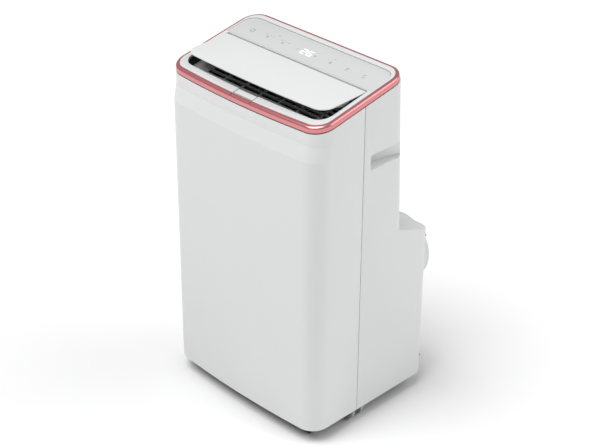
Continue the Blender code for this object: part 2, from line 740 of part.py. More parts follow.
def cord_hook(name, side):
    """A hook on the back to wind the mains lead on."""
    z = HOOK_Z
    y = back_y(z) + GAP + 0.0006
    x = side * HOOK_X
    made = piece(name, block((x - 0.009, y, z - 0.011), (x + 0.009, y + 0.003, z + 0.004)),
                 "white_plastic")
    join(made, block((x - 0.006, y + 0.001, z - 0.008), (x + 0.006, y + 0.014, z - 0.004)))
    join(made, block((x - 0.006, y + 0.011, z - 0.006), (x + 0.006, y + 0.014, z + 0.004)))
    return made


def cord_gland():
    """The moulded gland that the mains lead passes through."""
    bore = GLAND_BORE_R
    profile = [(bore, 0.006), (0.0095, 0.006), (0.0115, 0.003), (0.0115, GAP), (GLAND_R, GAP),
               (GLAND_R, -0.008), (bore, -0.008)]
    place = (Matrix.Translation((GLAND[0], BOX_Y, GLAND[1]))
             @ Matrix.Rotation(math.radians(-90), 4, "X"))
    return piece("cord_gland", turned(profile, 14, place), "black_plastic")


def drain_plug():
    """The rubber plug in the drain at the foot of the back."""
    profile = [(0.0, 0.004), (0.0115, 0.004), (0.0125, 0.003), (0.0125, GAP), (DRAIN_R, GAP),
               (DRAIN_R - 0.0008, -0.008), (0.0, -0.008)]
    place = (Matrix.Translation((DRAIN[0], BOX_Y, DRAIN[1]))
             @ Matrix.Rotation(math.radians(-90), 4, "X"))
    return piece("drain_plug", turned(profile, 20, place), "rubber")


# ---- Machinery inside ----

def compressor():
    """The hermetic compressor on its three rubber mounts, and its accumulator."""
    x, y = COMPRESSOR
    foot = PAN_Z[1] + 0.0083
    profile = [(0.0, foot), (0.070, foot), (0.070, foot + 0.003), (0.055, foot + 0.004),
               (0.055, 0.262), (0.050, 0.280), (0.036, 0.292), (0.015, 0.297), (0.0, 0.298)]
    piece("compressor", turned(profile, 20, Matrix.Translation((x, y, 0))), "black_steel")
    for i, angle in enumerate((90, 210, 330)):
        a = math.radians(angle)
        spot = Matrix.Translation((x + 0.060 * math.cos(a), y + 0.060 * math.sin(a),
                                   PAN_Z[1] + GAP))
        rubber = [(0.0, 0.0), (0.010, 0.0), (0.010, 0.0025), (0.0075, 0.004), (0.010, 0.0055),
                  (0.010, 0.0077), (0.0, 0.0077)]
        piece(f"compressor_mount_{i + 1}", turned(rubber, 10, spot), "rubber")
    can = [(0.0, 0.120), (0.012, 0.122), (0.022, 0.134), (0.022, 0.246), (0.012, 0.258),
           (0.0, 0.260)]
    piece("accumulator", turned(can, 14, Matrix.Translation((-0.035, -0.035, 0))), "black_steel")


def coil(name, low, high, bends):
    """A finned coil block with the U-bends of its tubes standing out at both ends."""
    made = piece(name, block(low, high), "aluminium")
    middle = (low[1] + high[1]) / 2
    step = (high[2] - low[2]) / bends
    loops = bmesh.new()
    for i in range(bends):
        z = low[2] + step * (i + 0.5)
        for x0, x1 in ((low[0] - BEND_REACH, low[0] + 0.002), (high[0] - 0.002, high[0] + BEND_REACH)):
            block((x0, middle - 0.004, z - step * BEND_HALF),
                  (x1, middle + 0.004, z + step * BEND_HALF), loops)
    join(made, loops)
    return made


def squirrel_cage(name, radius, width, shaft_out, place):
    """A drum blower wheel on its shaft: backplate, blades and end ring, turning about Z."""
    made = piece(name, turned([(0.0, 0.0), (radius, 0.0), (radius, 0.002), (0.012, 0.002),
                               (0.012, 0.020), (0.0, 0.020)], 24), "black_plastic", place)
    blades = bmesh.new()
    count = 16
    for i in range(count):
        turn = Matrix.Rotation(math.tau * i / count, 4, "Z")
        lean = Matrix.Translation((radius - 0.007, 0, 0)) @ Matrix.Rotation(0.6, 4, "Z")
        one = block((-0.0055, -0.0006, 0.001), (0.0055, 0.0006, width - 0.001))
        bmesh.ops.transform(one, matrix=turn @ lean, verts=one.verts)
        blades.from_mesh(baked(one))
    join(made, blades, place)
    ring = turned([(radius - 0.013, width - 0.002), (radius, width - 0.002), (radius, width),
                   (radius - 0.013, width)], 24)
    join(made, ring, place)
    join(made, rod((0, 0, 0.001), (0, 0, -shaft_out), 0.0038, 12), place)
    return made


def baked(bm):
    """A mesh from a bmesh, to be added to another bmesh."""
    mesh = bpy.data.meshes.new("blade")
    bm.to_mesh(mesh)
    bm.free()
    return mesh


def scroll_outline(centre, start, sweep, r_start, r_end, mouth, steps=20):
    """A spiral about centre, closed by the corners of its mouth."""
    points = []
    for i in range(steps + 1):
        angle = math.radians(start + sweep * i / steps)
        r = r_start + (r_end - r_start) * i / steps
        points.append((centre[0] + r * math.cos(angle), centre[1] + r * math.sin(angle)))
    return points + mouth


def condenser_blower():
    """The lower blower: it draws air through the condenser and drives it out of the collar."""
    y, z = BLOWER_LOW
    wall = SCROLL_WALL
    end = BOX_Y - 0.0075
    outer = scroll_outline((y, z), 90, 270, 0.130, 0.078, [(end, z), (end, z + 0.130)])
    inner = scroll_outline((y, z), 90, 270, 0.130 - wall, 0.078 - wall,
                           [(y + 0.078 - wall, z + wall), (end + 0.02, z + wall),
                            (end + 0.02, z + 0.130 - wall)])
    made = piece("condenser_scroll", extruded(outer, 0.062, 0.168, "X"), "grey_plastic")
    cut(made, extruded(inner, 0.062 + wall, 0.168 - wall, "X"))
    cut(made, rod((0.160, y, z), (0.180, y, z), 0.050, 28))
    cut(made, rod((0.050, y, z), (0.068, y, z), 0.0060, 12))
    turn = Matrix.Translation((0.072, y, z)) @ Matrix.Rotation(math.radians(90), 4, "Y")
    squirrel_cage("condenser_blower", 0.065, 0.085, 0.020, empty("condenser_blower_axis", turn))
    motor = [(0.0, 0.0), (0.030, 0.0), (0.038, 0.006), (0.038, 0.046), (0.030, 0.052),
             (0.0042, 0.052), (0.0042, 0.042), (0.0, 0.042)]
    place = Matrix.Translation((0.006, y, z)) @ Matrix.Rotation(math.radians(90), 4, "Y")
    piece("condenser_motor", turned(motor, 24, place), "steel")


def evaporator_blower():
    """The upper blower: it draws room air through the evaporator and lifts it to the outlet."""
    z = BLOWER_HIGH_Z
    wall = SCROLL_WALL
    mouth_z = 0.672
    low_y, high_y = -0.125, -0.015
    flare = [(-0.185, mouth_z), (0.185, mouth_z), (0.130, z + 0.060)]
    outer = scroll_outline((0.0, z), 0, -230, 0.130, 0.088, flare)
    inside = [(-0.185 + wall, mouth_z + 0.0), (-0.185 + wall, mouth_z + 0.02),
              (0.185 - wall, mouth_z + 0.02), (0.185 - wall, mouth_z),
              (0.130 - wall, z + 0.061)]
    inner = scroll_outline((0.0, z), 0, -230, 0.130 - wall, 0.088 - wall, inside)
    made = piece("evaporator_scroll", extruded(outer, low_y, high_y, "Y"), "grey_plastic")
    cut(made, extruded(inner, low_y + wall, high_y - wall, "Y"))
    cut(made, rod((0, high_y - 0.01, z), (0, high_y + 0.01, z), 0.062, 32))
    cut(made, rod((0, low_y - 0.01, z), (0, low_y + 0.006, z), 0.0060, 12))
    turn = Matrix.Translation((0, low_y + 0.012, z)) @ Matrix.Rotation(math.radians(-90), 4, "X")
    squirrel_cage("evaporator_blower", 0.078, 0.082, 0.022, empty("evaporator_blower_axis", turn))
    motor = [(0.0, 0.0), (0.034, 0.0), (0.042, 0.006), (0.042, 0.034), (0.034, 0.040),
             (0.0042, 0.040), (0.0042, 0.030), (0.0, 0.030)]
    place = Matrix.Translation((0, low_y - 0.043, z)) @ Matrix.Rotation(math.radians(-90), 4, "X")
    piece("evaporator_motor", turned(motor, 24, place), "steel")


def partition_tray():
    """The shelf between the two air paths, which also catches the evaporator's water."""
    low, high = (-0.205, -0.162, 0.392), (0.205, 0.066, 0.414)
    made = piece("partition_tray", block(low, high), "grey_plastic")
    cut(made, block((low[0] + 0.003, low[1] + 0.003, low[2] + 0.004),
                    (high[0] - 0.003, high[1] - 0.003, high[2] + 0.02)))
    cut(made, block((-0.202, 0.012, 0.38), (-0.172, 0.056, 0.40)))
    return made


def splash():
    """The wheel that throws tray water onto the lower coil, and its motor."""
    x, y, z = -0.060, 0.1005, 0.078
    wheel = piece("splash_wheel", rod((x, y - 0.0015, z), (x, y + 0.0015, z), 0.017, 20),
                  "black_plastic", None)
    join(wheel, rod((x, y - 0.012, z), (x, y, z), 0.0022, 10))
    motor = piece("splash_motor", rod((x, y - 0.026, z), (x, y - 0.0095, z), 0.015, 20), "steel")
    cut(motor, rod((x, y - 0.0135, z), (x, y, z), 0.0026, 12))


def machinery():
    compressor()
    coil("condenser_coil", (-0.170, 0.112, 0.075), (0.018, 0.148, 0.365), 6)
    coil("evaporator_coil", (-0.155, 0.008, 0.399), (0.155, 0.044, 0.680), 6)
    condenser_blower()
    evaporator_blower()
    partition_tray()
    splash()
    box = piece("control_box", block((0.030, -0.175, 0.100), (0.190, -0.118, 0.350)), "grey_plastic")
    soften(box, 0.003, 1)
    pipe("discharge_pipe", [(-0.115, 0.020, 0.2990), (-0.115, 0.020, 0.330), (-0.118, 0.040, 0.352),
                            (-0.130, 0.080, 0.362), (-0.140, 0.115, 0.378), (-0.140, 0.130, 0.3722),
                            (-0.140, 0.130, 0.3658)], 0.0035)
    pipe("suction_pipe", [(-0.184, 0.026, 0.470), (-0.184, 0.026, 0.410), (-0.184, 0.022, 0.370),
                          (-0.165, -0.010, 0.335), (-0.110, -0.045, 0.320),
                          (-0.060, -0.045, 0.310), (-0.036, -0.036, 0.290),
                          (-0.035, -0.035, 0.2606)], 0.0045)
    pipe("liquid_pipe", [(-0.195, 0.130, 0.110), (-0.197, 0.110, 0.140), (-0.197, 0.070, 0.240),
                         (-0.197, 0.045, 0.360), (-0.197, 0.045, 0.420), (-0.192, 0.040, 0.450)],
         0.0020)


def assemble():
    for old in list(bpy.data.objects):
        bpy.data.objects.remove(old)
    top = empty("top_frame", Matrix.Translation((0, FRONT_Y, TOP_Z)) @ Matrix.Rotation(TILT, 4, "X"))
    hinge = empty("flap_hinge", Matrix.Translation((0, HINGE_V, HINGE_N))
                  @ Matrix.Rotation(-FLAP_OPEN, 4, "X"), top)
    front_panel()
    rear_shell()
    trim_ring()
    top_cover(top)
    lip_insert(top)
    control_panel(top)
    display_board(top)
    base_pan()
    front_foot("front_foot_left", -1)
    front_foot("front_foot_right", 1)
    for name, (x, y) in CASTERS.items():
        caster("caster_" + name, x, y)
    outlet_duct(top)
    outlet_grille(top)
    outlet_flap(hinge)
    flap_motor(top)
    for i in range(VANES):
        shaft_end = -0.0540 if i < VANES - 1 else -0.0620
        vane(f"vane_{i + 1}", (i - (VANES - 1) / 2) * VANE_PITCH, top, shaft_end)
    vane_link(top)
    vane_motor(top)
    intake()
    condenser_grille()
    exhaust_collar()
    cord_hook("cord_hook_left", -1)
    cord_hook("cord_hook_right", 1)
    cord_gland()
    drain_plug()
    machinery()


assemble()
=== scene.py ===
import json
import math

import bmesh
import bpy
from mathutils import Matrix, Vector


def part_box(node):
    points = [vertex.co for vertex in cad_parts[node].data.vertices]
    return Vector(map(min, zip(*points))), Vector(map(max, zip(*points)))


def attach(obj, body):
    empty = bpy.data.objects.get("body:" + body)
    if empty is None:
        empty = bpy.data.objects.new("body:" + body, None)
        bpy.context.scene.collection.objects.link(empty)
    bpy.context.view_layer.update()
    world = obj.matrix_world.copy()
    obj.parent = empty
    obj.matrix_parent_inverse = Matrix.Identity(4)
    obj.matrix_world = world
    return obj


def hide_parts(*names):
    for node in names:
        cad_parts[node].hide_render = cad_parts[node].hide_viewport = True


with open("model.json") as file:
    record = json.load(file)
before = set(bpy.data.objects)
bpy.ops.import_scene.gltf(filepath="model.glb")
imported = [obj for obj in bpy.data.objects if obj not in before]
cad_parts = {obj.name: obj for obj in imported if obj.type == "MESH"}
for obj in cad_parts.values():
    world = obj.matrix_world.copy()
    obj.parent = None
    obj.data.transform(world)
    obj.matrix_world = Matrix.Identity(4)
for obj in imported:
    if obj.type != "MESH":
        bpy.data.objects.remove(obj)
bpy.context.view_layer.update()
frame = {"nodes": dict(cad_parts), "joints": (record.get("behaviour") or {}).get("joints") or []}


# ---- Camera ----
# Stands off the front right corner, above the machine and a hair off level, with a long lens that
# keeps the casing's uprights nearly parallel.
VIEW_TURN = math.radians(45.13)
VIEW_RISE = math.radians(30.09)
VIEW_ROLL = math.radians(0.4)
LENS = 93.8
SENSOR = 36.0
EYE = Vector((2.0192, -2.0215, 2.0311))

back = Vector((math.sin(VIEW_TURN) * math.cos(VIEW_RISE),
               -math.cos(VIEW_TURN) * math.cos(VIEW_RISE), math.sin(VIEW_RISE)))
level = Vector((math.cos(VIEW_TURN), math.sin(VIEW_TURN), 0.0))
plumb_up = back.cross(level)
right = level * math.cos(VIEW_ROLL) + plumb_up * math.sin(VIEW_ROLL)
up = plumb_up * math.cos(VIEW_ROLL) - level * math.sin(VIEW_ROLL)
camera_data = bpy.data.cameras.new("camera")
camera_data.lens = LENS
camera_data.sensor_width = SENSOR
camera = bpy.data.objects.new("camera", camera_data)
camera.matrix_world = Matrix.Translation(EYE) @ Matrix((right, up, back)).transposed().to_4x4()
bpy.context.scene.collection.objects.link(camera)
bpy.context.scene.camera = camera


# ---- Light ----
# An even white studio: a pale sky, a broad light high in front and a weaker one off the right rear,
# both wide enough to leave only soft shadows.
SKY = 0.26
bpy.context.scene.view_settings.view_transform = "Standard"
world = bpy.data.worlds.new("studio")
world.use_nodes = True
world.node_tree.nodes["Background"].inputs["Color"].default_value = (1.0, 1.0, 1.0, 1.0)
world.node_tree.nodes["Background"].inputs["Strength"].default_value = SKY
bpy.context.scene.world = world


def soft_sun(name, toward, strength, spread):
    """A broad even light that comes from the direction toward."""
    lamp = bpy.data.lights.new(name, "SUN")
    lamp.energy = strength
    lamp.angle = math.radians(spread)
    made = bpy.data.objects.new(name, lamp)
    made.matrix_world = Vector(toward).to_track_quat("Z", "Y").to_matrix().to_4x4()
    bpy.context.scene.collection.objects.link(made)


soft_sun("high_front_light", (-0.14, -0.38, 0.91), 2.60, 45.0)
soft_sun("back_right_light", (0.56, 0.54, 0.62), 1.20, 50.0)


# ---- Floor ----
# A plain pale sheet, wide enough to fill every view. Its finish is the first made from the shared
# surfaces: moulded plastic has a faint drift of tone, an uneven sheen and the fine grain of its
# mould; metal has clouded tarnish and drawn grain.
FLOOR_SIZE = 30.0
FLOOR_DROP = 0.0005
CLOUD_SCALE = 7.0
PATCH_SCALE = 22.0
PATCH_SWING = 0.14
TARNISH_SCALE = 30.0
COAT_ROUGHNESS = 0.06
FLOAT, COLOUR, VECTOR = "NodeSocketFloat", "NodeSocketColor", "NodeSocketVector"


def new_group(name, takes, gives):
    """An empty node group with named sockets: (name, kind, default) in, (name, kind) out."""
    tree = bpy.data.node_groups.new(name, "ShaderNodeTree")
    for socket, kind, value in takes:
        made = tree.interface.new_socket(socket, in_out="INPUT", socket_type=kind)
        if value is not None:
            made.default_value = value
    for socket, kind in gives:
        tree.interface.new_socket(socket, in_out="OUTPUT", socket_type=kind)
    return tree, tree.nodes.new("NodeGroupInput").outputs, tree.nodes.new("NodeGroupOutput").inputs


def math_node(tree, operation, first, second=0.0):
    """A Math node; each operand is a socket or a number."""
    node = tree.nodes.new("ShaderNodeMath")
    node.operation = operation
    for slot, value in zip(node.inputs, (first, second)):
        if isinstance(value, bpy.types.NodeSocket):
            tree.links.new(value, slot)
        else:
            slot.default_value = value
    return node.outputs[0]


def noise_node(tree, coordinates, scale, detail=2.0):
    """The factor of a Noise Texture; its scale is a socket or a number."""
    node = tree.nodes.new("ShaderNodeTexNoise")
    node.inputs["Detail"].default_value = detail
    tree.links.new(coordinates, node.inputs["Vector"])
    if isinstance(scale, bpy.types.NodeSocket):
        tree.links.new(scale, node.inputs["Scale"])
    else:
        node.inputs["Scale"].default_value = scale
    return node.outputs["Fac"]


def toned(tree, colour, factor):
    """A colour made lighter or darker by a factor."""
    node = tree.nodes.new("ShaderNodeVectorMath")
    node.operation = "SCALE"
    tree.links.new(colour, node.inputs[0])
    tree.links.new(factor, node.inputs["Scale"])
    return node.outputs["Vector"]


def moulded_surface():
    """Plastic from a mould: tone drift in broad clouds, sheen in patches, spark-eroded grain."""
    tree, takes, gives = new_group(
        "moulded_surface",
        [("Coordinates", VECTOR, None), ("Tint", COLOUR, (0.8, 0.8, 0.8, 1.0)),
         ("Tone Drift", FLOAT, 0.04), ("Sheen", FLOAT, 0.4), ("Grain Scale", FLOAT, 900.0)],
        [("Colour", COLOUR), ("Roughness", FLOAT), ("Height", FLOAT)])
    where = takes["Coordinates"]
    drift = math_node(tree, "SUBTRACT", noise_node(tree, where, CLOUD_SCALE, 3.0), 0.5)
    swing = math_node(tree, "MULTIPLY", drift, takes["Tone Drift"])
    tree.links.new(toned(tree, takes["Tint"], math_node(tree, "ADD", swing, 1.0)), gives["Colour"])
    patches = math_node(tree, "SUBTRACT", noise_node(tree, where, PATCH_SCALE), 0.5)
    uneven = math_node(tree, "MULTIPLY", patches, PATCH_SWING)
    tree.links.new(math_node(tree, "ADD", takes["Sheen"], uneven), gives["Roughness"])
    tree.links.new(noise_node(tree, where, takes["Grain Scale"], 1.0), gives["Height"])
    return tree


def metal_surface():
    """Bare or plated metal: clouded tarnish that dulls it, and a fine drawn grain."""
    tree, takes, gives = new_group(
        "metal_surface",
        [("Coordinates", VECTOR, None), ("Tint", COLOUR, (0.7, 0.7, 0.7, 1.0)),
         ("Tarnish", FLOAT, 0.15), ("Polish", FLOAT, 0.3), ("Grain Scale", FLOAT, 400.0)],
        [("Colour", COLOUR), ("Roughness", FLOAT), ("Height", FLOAT)])
    where = takes["Coordinates"]
    clouds = noise_node(tree, where, TARNISH_SCALE, 4.0)
    darker = math_node(tree, "MULTIPLY", clouds, takes["Tarnish"])
    tree.links.new(toned(tree, takes["Tint"], math_node(tree, "SUBTRACT", 1.0, darker)),
                   gives["Colour"])
    tree.links.new(math_node(tree, "ADD", takes["Polish"], darker), gives["Roughness"])
    tree.links.new(noise_node(tree, where, takes["Grain Scale"]), gives["Height"])
    return tree


PLASTIC = moulded_surface()
METAL = metal_surface()


def finish_of(name, group, tint, depth, values, metallic=0.0, coat=0.0):
    """A Principled material fed by a surface group; depth is the grain's height in metres."""
    made = bpy.data.materials.new(name)
    made.use_nodes = True
    tree = made.node_tree
    shader = tree.nodes["Principled BSDF"]
    shader.inputs["Metallic"].default_value = metallic
    shader.inputs["Coat Weight"].default_value = coat
    shader.inputs["Coat Roughness"].default_value = COAT_ROUGHNESS
    where = tree.nodes.new("ShaderNodeTexCoord")
    surface = tree.nodes.new("ShaderNodeGroup")
    surface.name = "surface"
    surface.node_tree = group
    surface.inputs["Tint"].default_value = (*tint, 1.0)
    for socket, value in values.items():
        surface.inputs[socket].default_value = value
    bump = tree.nodes.new("ShaderNodeBump")
    bump.inputs["Strength"].default_value = 1.0
    bump.inputs["Distance"].default_value = depth
    tree.links.new(where.outputs["Object"], surface.inputs["Coordinates"])
    tree.links.new(surface.outputs["Colour"], shader.inputs["Base Color"])
    tree.links.new(surface.outputs["Roughness"], shader.inputs["Roughness"])
    tree.links.new(surface.outputs["Height"], bump.inputs["Height"])
    tree.links.new(bump.outputs["Normal"], shader.inputs["Normal"])
    return made


def plastic(name, tint, sheen, grain=900.0, depth=0.00003, drift=0.03, coat=0.0):
    """A moulded plastic: sheen is its roughness, grain the scale of its mould's texture."""
    return finish_of(name, PLASTIC, tint, depth,
                     {"Sheen": sheen, "Grain Scale": grain, "Tone Drift": drift}, coat=coat)


def metal(name, tint, polish, grain=400.0, depth=0.00002, tarnish=0.12, metallic=1.0):
    """A metal: polish is its least roughness, tarnish how far it darkens in clouds."""
    return finish_of(name, METAL, tint, depth,
                     {"Polish": polish, "Grain Scale": grain, "Tarnish": tarnish}, metallic)


floor_bm = bmesh.new()
bmesh.ops.create_grid(floor_bm, x_segments=1, y_segments=1, size=FLOOR_SIZE / 2)
floor_mesh = bpy.data.meshes.new("floor")
floor_bm.to_mesh(floor_mesh)
floor_bm.free()
floor_mesh.transform(Matrix.Translation((0, 0, -FLOOR_DROP)))
floor = bpy.data.objects.new("floor", floor_mesh)
floor_mesh.materials.append(plastic("floor_paper", (0.88, 0.88, 0.88), 0.8, 60.0, 0.0001, 0.005))
bpy.context.scene.collection.objects.link(floor)


# ---- Front shell ----
# The front of the casing, one moulding in white plastic. It bows out a little across its width,
# and a sloping ledge under the top sets the face forward. It clips to the rear shell at the sides.
SMOOTH = math.radians(30)
NEAR = 1e-6
WALL = 0.003
ROUND_STEPS = 10
BOW_STEPS = 14
shell_low, shell_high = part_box("front_panel")
trim_low, trim_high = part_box("trim_ring")
HALF_W = shell_high.x
BOW = 0.0065
FACE_Y = shell_low.y + BOW
FRONT_Y = trim_low.y + BOW
SEAM_Y = shell_high.y
BODY_Z = shell_low.z
CORNER_R = 0.040
TILT = math.radians(11.2)
LEDGE_LOW_Z = 0.6584
LEDGE_TOP_Z = 0.6904
TRIM_H = 0.014
TOP_Z = trim_low.z + TRIM_H + BOW * math.tan(TILT)
SHADOW_GAP = 0.001
CREASE = 0.0012
casing_white = plastic("casing_white", (0.735, 0.74, 0.74), 0.45)


def top_z(y, height=0.0):
    """The sloping top's height above the floor at depth y."""
    return TOP_Z + (y - FRONT_Y) * math.tan(TILT) + height


def lies_at(edge, y):
    """Whether both ends of an edge are at depth y."""
    return all(abs(v.co.y - y) < NEAR for v in edge.verts)


def plate(bm, low, high, front_r, back_r, bow=0.0, z=0.0):
    """A flat face with rounded corners, whose front edge bows out by bow at its middle."""
    corners = [bm.verts.new((x, y, z)) for x, y in
               ((low[0], low[1]), (high[0], low[1]), (high[0], high[1]), (low[0], high[1]))]
    bm.faces.new(corners)
    for pair, radius in ((corners[:2], front_r), (corners[2:], back_r)):
        if radius:
            bmesh.ops.bevel(bm, geom=pair, offset=radius, offset_type="OFFSET",
                            segments=ROUND_STEPS, profile=0.5, affect="VERTICES", material=-1)
    if bow:
        front = max((e for e in bm.edges if lies_at(e, low[1])), key=lambda e: e.calc_length())
        half = front.calc_length() / 2
        bmesh.ops.subdivide_edges(bm, edges=[front], cuts=BOW_STEPS - 1)
        for v in bm.verts:
            if abs(v.co.y - low[1]) < NEAR:
                v.co.y -= bow * max(0.0, 1 - (v.co.x / half) ** 2)
    return bm


def carry(bm, edges, steps, move):
    """Extrudes edges once for each step; move(point, step) says where each new point goes."""
    for step in steps:
        out = bmesh.ops.extrude_edge_only(bm, edges=edges)["geom"]
        edges = [g for g in out if isinstance(g, bmesh.types.BMEdge)]
        for v in {v for e in edges for v in e.verts}:
            v.co = move(v.co.copy(), step)
    return edges


def extruded(bm, faces):
    """Extrudes faces where they are and gives the new vertices."""
    made = bmesh.ops.extrude_face_region(bm, geom=faces)["geom"]
    return [g for g in made if isinstance(g, bmesh.types.BMVert)]


def piece(name, bm, material, body="casing", replaces=(), merge=NEAR, angle=SMOOTH):
    """Makes the object from a bmesh, shades its round faces smooth and rides it on a body."""
    bmesh.ops.remove_doubles(bm, verts=bm.verts, dist=merge)
    bmesh.ops.recalc_face_normals(bm, faces=bm.faces)
    mesh = bpy.data.meshes.new(name)
    bm.to_mesh(mesh)
    bm.free()
    mesh.shade_smooth()
    mesh.set_sharp_from_angle(angle=angle)
    mesh.materials.append(material)
    made = bpy.data.objects.new(name, mesh)
    bpy.context.scene.collection.objects.link(made)
    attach(made, body)
    if replaces:
        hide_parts(*replaces)
    return made


def open_plan(bm, seam_y):
    """Leaves only the outline of a plate, without the edge that lies on the seam."""
    bmesh.ops.delete(bm, geom=bm.faces[:], context="FACES_ONLY")
    on_seam = [e for e in bm.edges if lies_at(e, seam_y)]
    bmesh.ops.delete(bm, geom=on_seam, context="EDGES")
    return bm.edges[:]


def walled(bm):
    """Gives an open skin the casing's wall, on the inside of it."""
    bmesh.ops.recalc_face_normals(bm, faces=bm.faces)
    middle = sum((f.calc_center_median() for f in bm.faces), Vector()) / len(bm.faces)
    outward = sum((f.calc_center_median() - middle).dot(f.normal) for f in bm.faces)
    if outward < 0:
        bmesh.ops.reverse_faces(bm, faces=bm.faces)
    bmesh.ops.solidify(bm, geom=bm.faces[:], thickness=WALL)


def settle(made):
    """Fixes an object's modifiers into its mesh."""
    bpy.context.view_layer.update()
    evaluated = made.evaluated_get(bpy.context.evaluated_depsgraph_get())
    finished = bpy.data.meshes.new_from_object(evaluated)
    made.modifiers.clear()
    made.data = finished


def eased(made, width, segments=2, angle=35.0):
    """Rounds an object's sharp edges by width."""
    modifier = made.modifiers.new("eased", "BEVEL")
    modifier.width = width
    modifier.segments = segments
    modifier.limit_method = "ANGLE"
    modifier.angle_limit = math.radians(angle)
    modifier.use_clamp_overlap = True
    settle(made)
    made.data.shade_smooth()
    made.data.set_sharp_from_angle(angle=SMOOTH)


front_bm = bmesh.new()
plate(front_bm, (-HALF_W, FACE_Y), (HALF_W, SEAM_Y), CORNER_R, 0.0, BOW, BODY_Z)
front_edges = open_plan(front_bm, SEAM_Y)


def front_step(p, step):
    """Up to a level; the ledge also draws the face back by what it stands proud."""
    kind, z = step
    if kind == "ledge" and p.y < SEAM_Y - NEAR:
        rise = (z - p.z) / (LEDGE_TOP_Z - LEDGE_LOW_Z)
        p.y += (FRONT_Y - FACE_Y) * rise
    p.z = z if kind != "rim" else top_z(p.y, z)
    return p


carry(front_bm, front_edges,
      [("wall", LEDGE_LOW_Z - CREASE), ("wall", LEDGE_LOW_Z), ("ledge", LEDGE_LOW_Z + CREASE),
       ("ledge", LEDGE_TOP_Z - CREASE), ("ledge", LEDGE_TOP_Z), ("wall", LEDGE_TOP_Z + CREASE),
       ("rim", -TRIM_H - SHADOW_GAP)], front_step)
walled(front_bm)
front_shell = piece("front_shell", front_bm, casing_white, replaces=["front_panel"])
eased(front_shell, 0.0007, angle=20.0)


# ---- Rear shell ----
# The rest of the casing in the same white plastic: plain sides, a back that leans in, and below
# it a deeper box with a falling lid. Its windows, ports and grip slots are cut after moulding.
REAR_SEAM_Y = SEAM_Y + 0.0013
BACK_R = 0.034
BACK_TOP_Y = trim_high.y
BACK_LOW_Y = FRONT_Y + 0.258
BOX_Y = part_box("rear_shell")[1].y
LID_FALL = 0.3675
LID_FRONT_Z = 0.431
LID_BACK_Z = 0.400
INTAKE_X = 0.150
INTAKE_Z = (0.470, 0.690)
INTAKE_CUT_Y = (0.050, 0.110)
GRIP_Y = (-0.033, 0.0625)
GRIP_Z = (0.597, 0.631)
GRIP_DEPTH = 0.031
GRIP_SHALLOW = 0.0095
GRIP_CORNER_R = 0.0035
POCKET_TAIL = [(0.2020, 0.0620), (0.2060, 0.0600), (HALF_W - WALL / 2, 0.0360)]
COLLAR = Vector((0.115, BOX_Y, 0.300))
COLLAR_R = (0.070, 0.075)
DRAIN = Vector((-0.060, BOX_Y, 0.064))
GLAND = Vector((0.172, BOX_Y, 0.110))
PORT_CUTS = ((COLLAR, 0.068), (DRAIN, 0.0091), (GLAND, 0.0081))
grille_low, grille_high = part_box("condenser_grille")
WINDOW_GAP = 0.0006
CUT_REACH = 0.02


def box_into(bm, low, high):
    """A box between two corners, added to a bmesh; gives its new vertices."""
    low, high = Vector(low), Vector(high)
    place = Matrix.Translation((low + high) / 2) @ Matrix.Diagonal((*(high - low), 1.0))
    return bmesh.ops.create_cube(bm, size=1.0, matrix=place)["verts"]


def rod_into(bm, start, end, radius, segments=24):
    """A capped round bar between two points, added to a bmesh."""
    start, end = Vector(start), Vector(end)
    turn = (end - start).to_track_quat("Z", "Y").to_matrix().to_4x4()
    bmesh.ops.create_cone(bm, cap_ends=True, segments=segments, radius1=radius, radius2=radius,
                          depth=(end - start).length,
                          matrix=Matrix.Translation((start + end) / 2) @ turn)


def trimmed(made, cutter_bm, operation="DIFFERENCE"):
    """Cuts a piece with the solids in a bmesh, or joins them to it."""
    bmesh.ops.recalc_face_normals(cutter_bm, faces=cutter_bm.faces)
    mesh = bpy.data.meshes.new("cutter")
    cutter_bm.to_mesh(mesh)
    cutter_bm.free()
    cutter = bpy.data.objects.new("cutter", mesh)
    bpy.context.scene.collection.objects.link(cutter)
    modifier = made.modifiers.new("trimmed", "BOOLEAN")
    modifier.operation = operation
    modifier.solver = "EXACT"
    modifier.object = cutter
    settle(made)
    bpy.data.objects.remove(cutter)
    made.data.shade_smooth()
    made.data.set_sharp_from_angle(angle=SMOOTH)


def rear_step(p, step):
    """Up to a level; past the lid the back stands further forward, and it leans in to the top."""
    kind, z = step
    behind = p.y - REAR_SEAM_Y > NEAR
    if kind == "shoulder" and behind:
        p.y += BACK_LOW_Y - BOX_Y
    if kind == "rim":
        p.y += (BACK_TOP_Y - BACK_LOW_Y) if behind else 0.0
        p.z = top_z(p.y, z)
    else:
        flat = (BOX_Y if kind == "lid" else BACK_LOW_Y) - BACK_R
        p.z = z - LID_FALL * max(0.0, p.y - flat)
    return p


rear_bm = bmesh.new()
plate(rear_bm, (-HALF_W, REAR_SEAM_Y), (HALF_W, BOX_Y), 0.0, BACK_R, z=BODY_Z)
rear_edges = open_plan(rear_bm, REAR_SEAM_Y)
carry(rear_bm, rear_edges,
      [("lid", LID_BACK_Z), ("shoulder", LID_FRONT_Z), ("rim", -TRIM_H - SHADOW_GAP)], rear_step)
walled(rear_bm)
rear_shell = piece("rear_casing", rear_bm, casing_white, replaces=["rear_shell"])

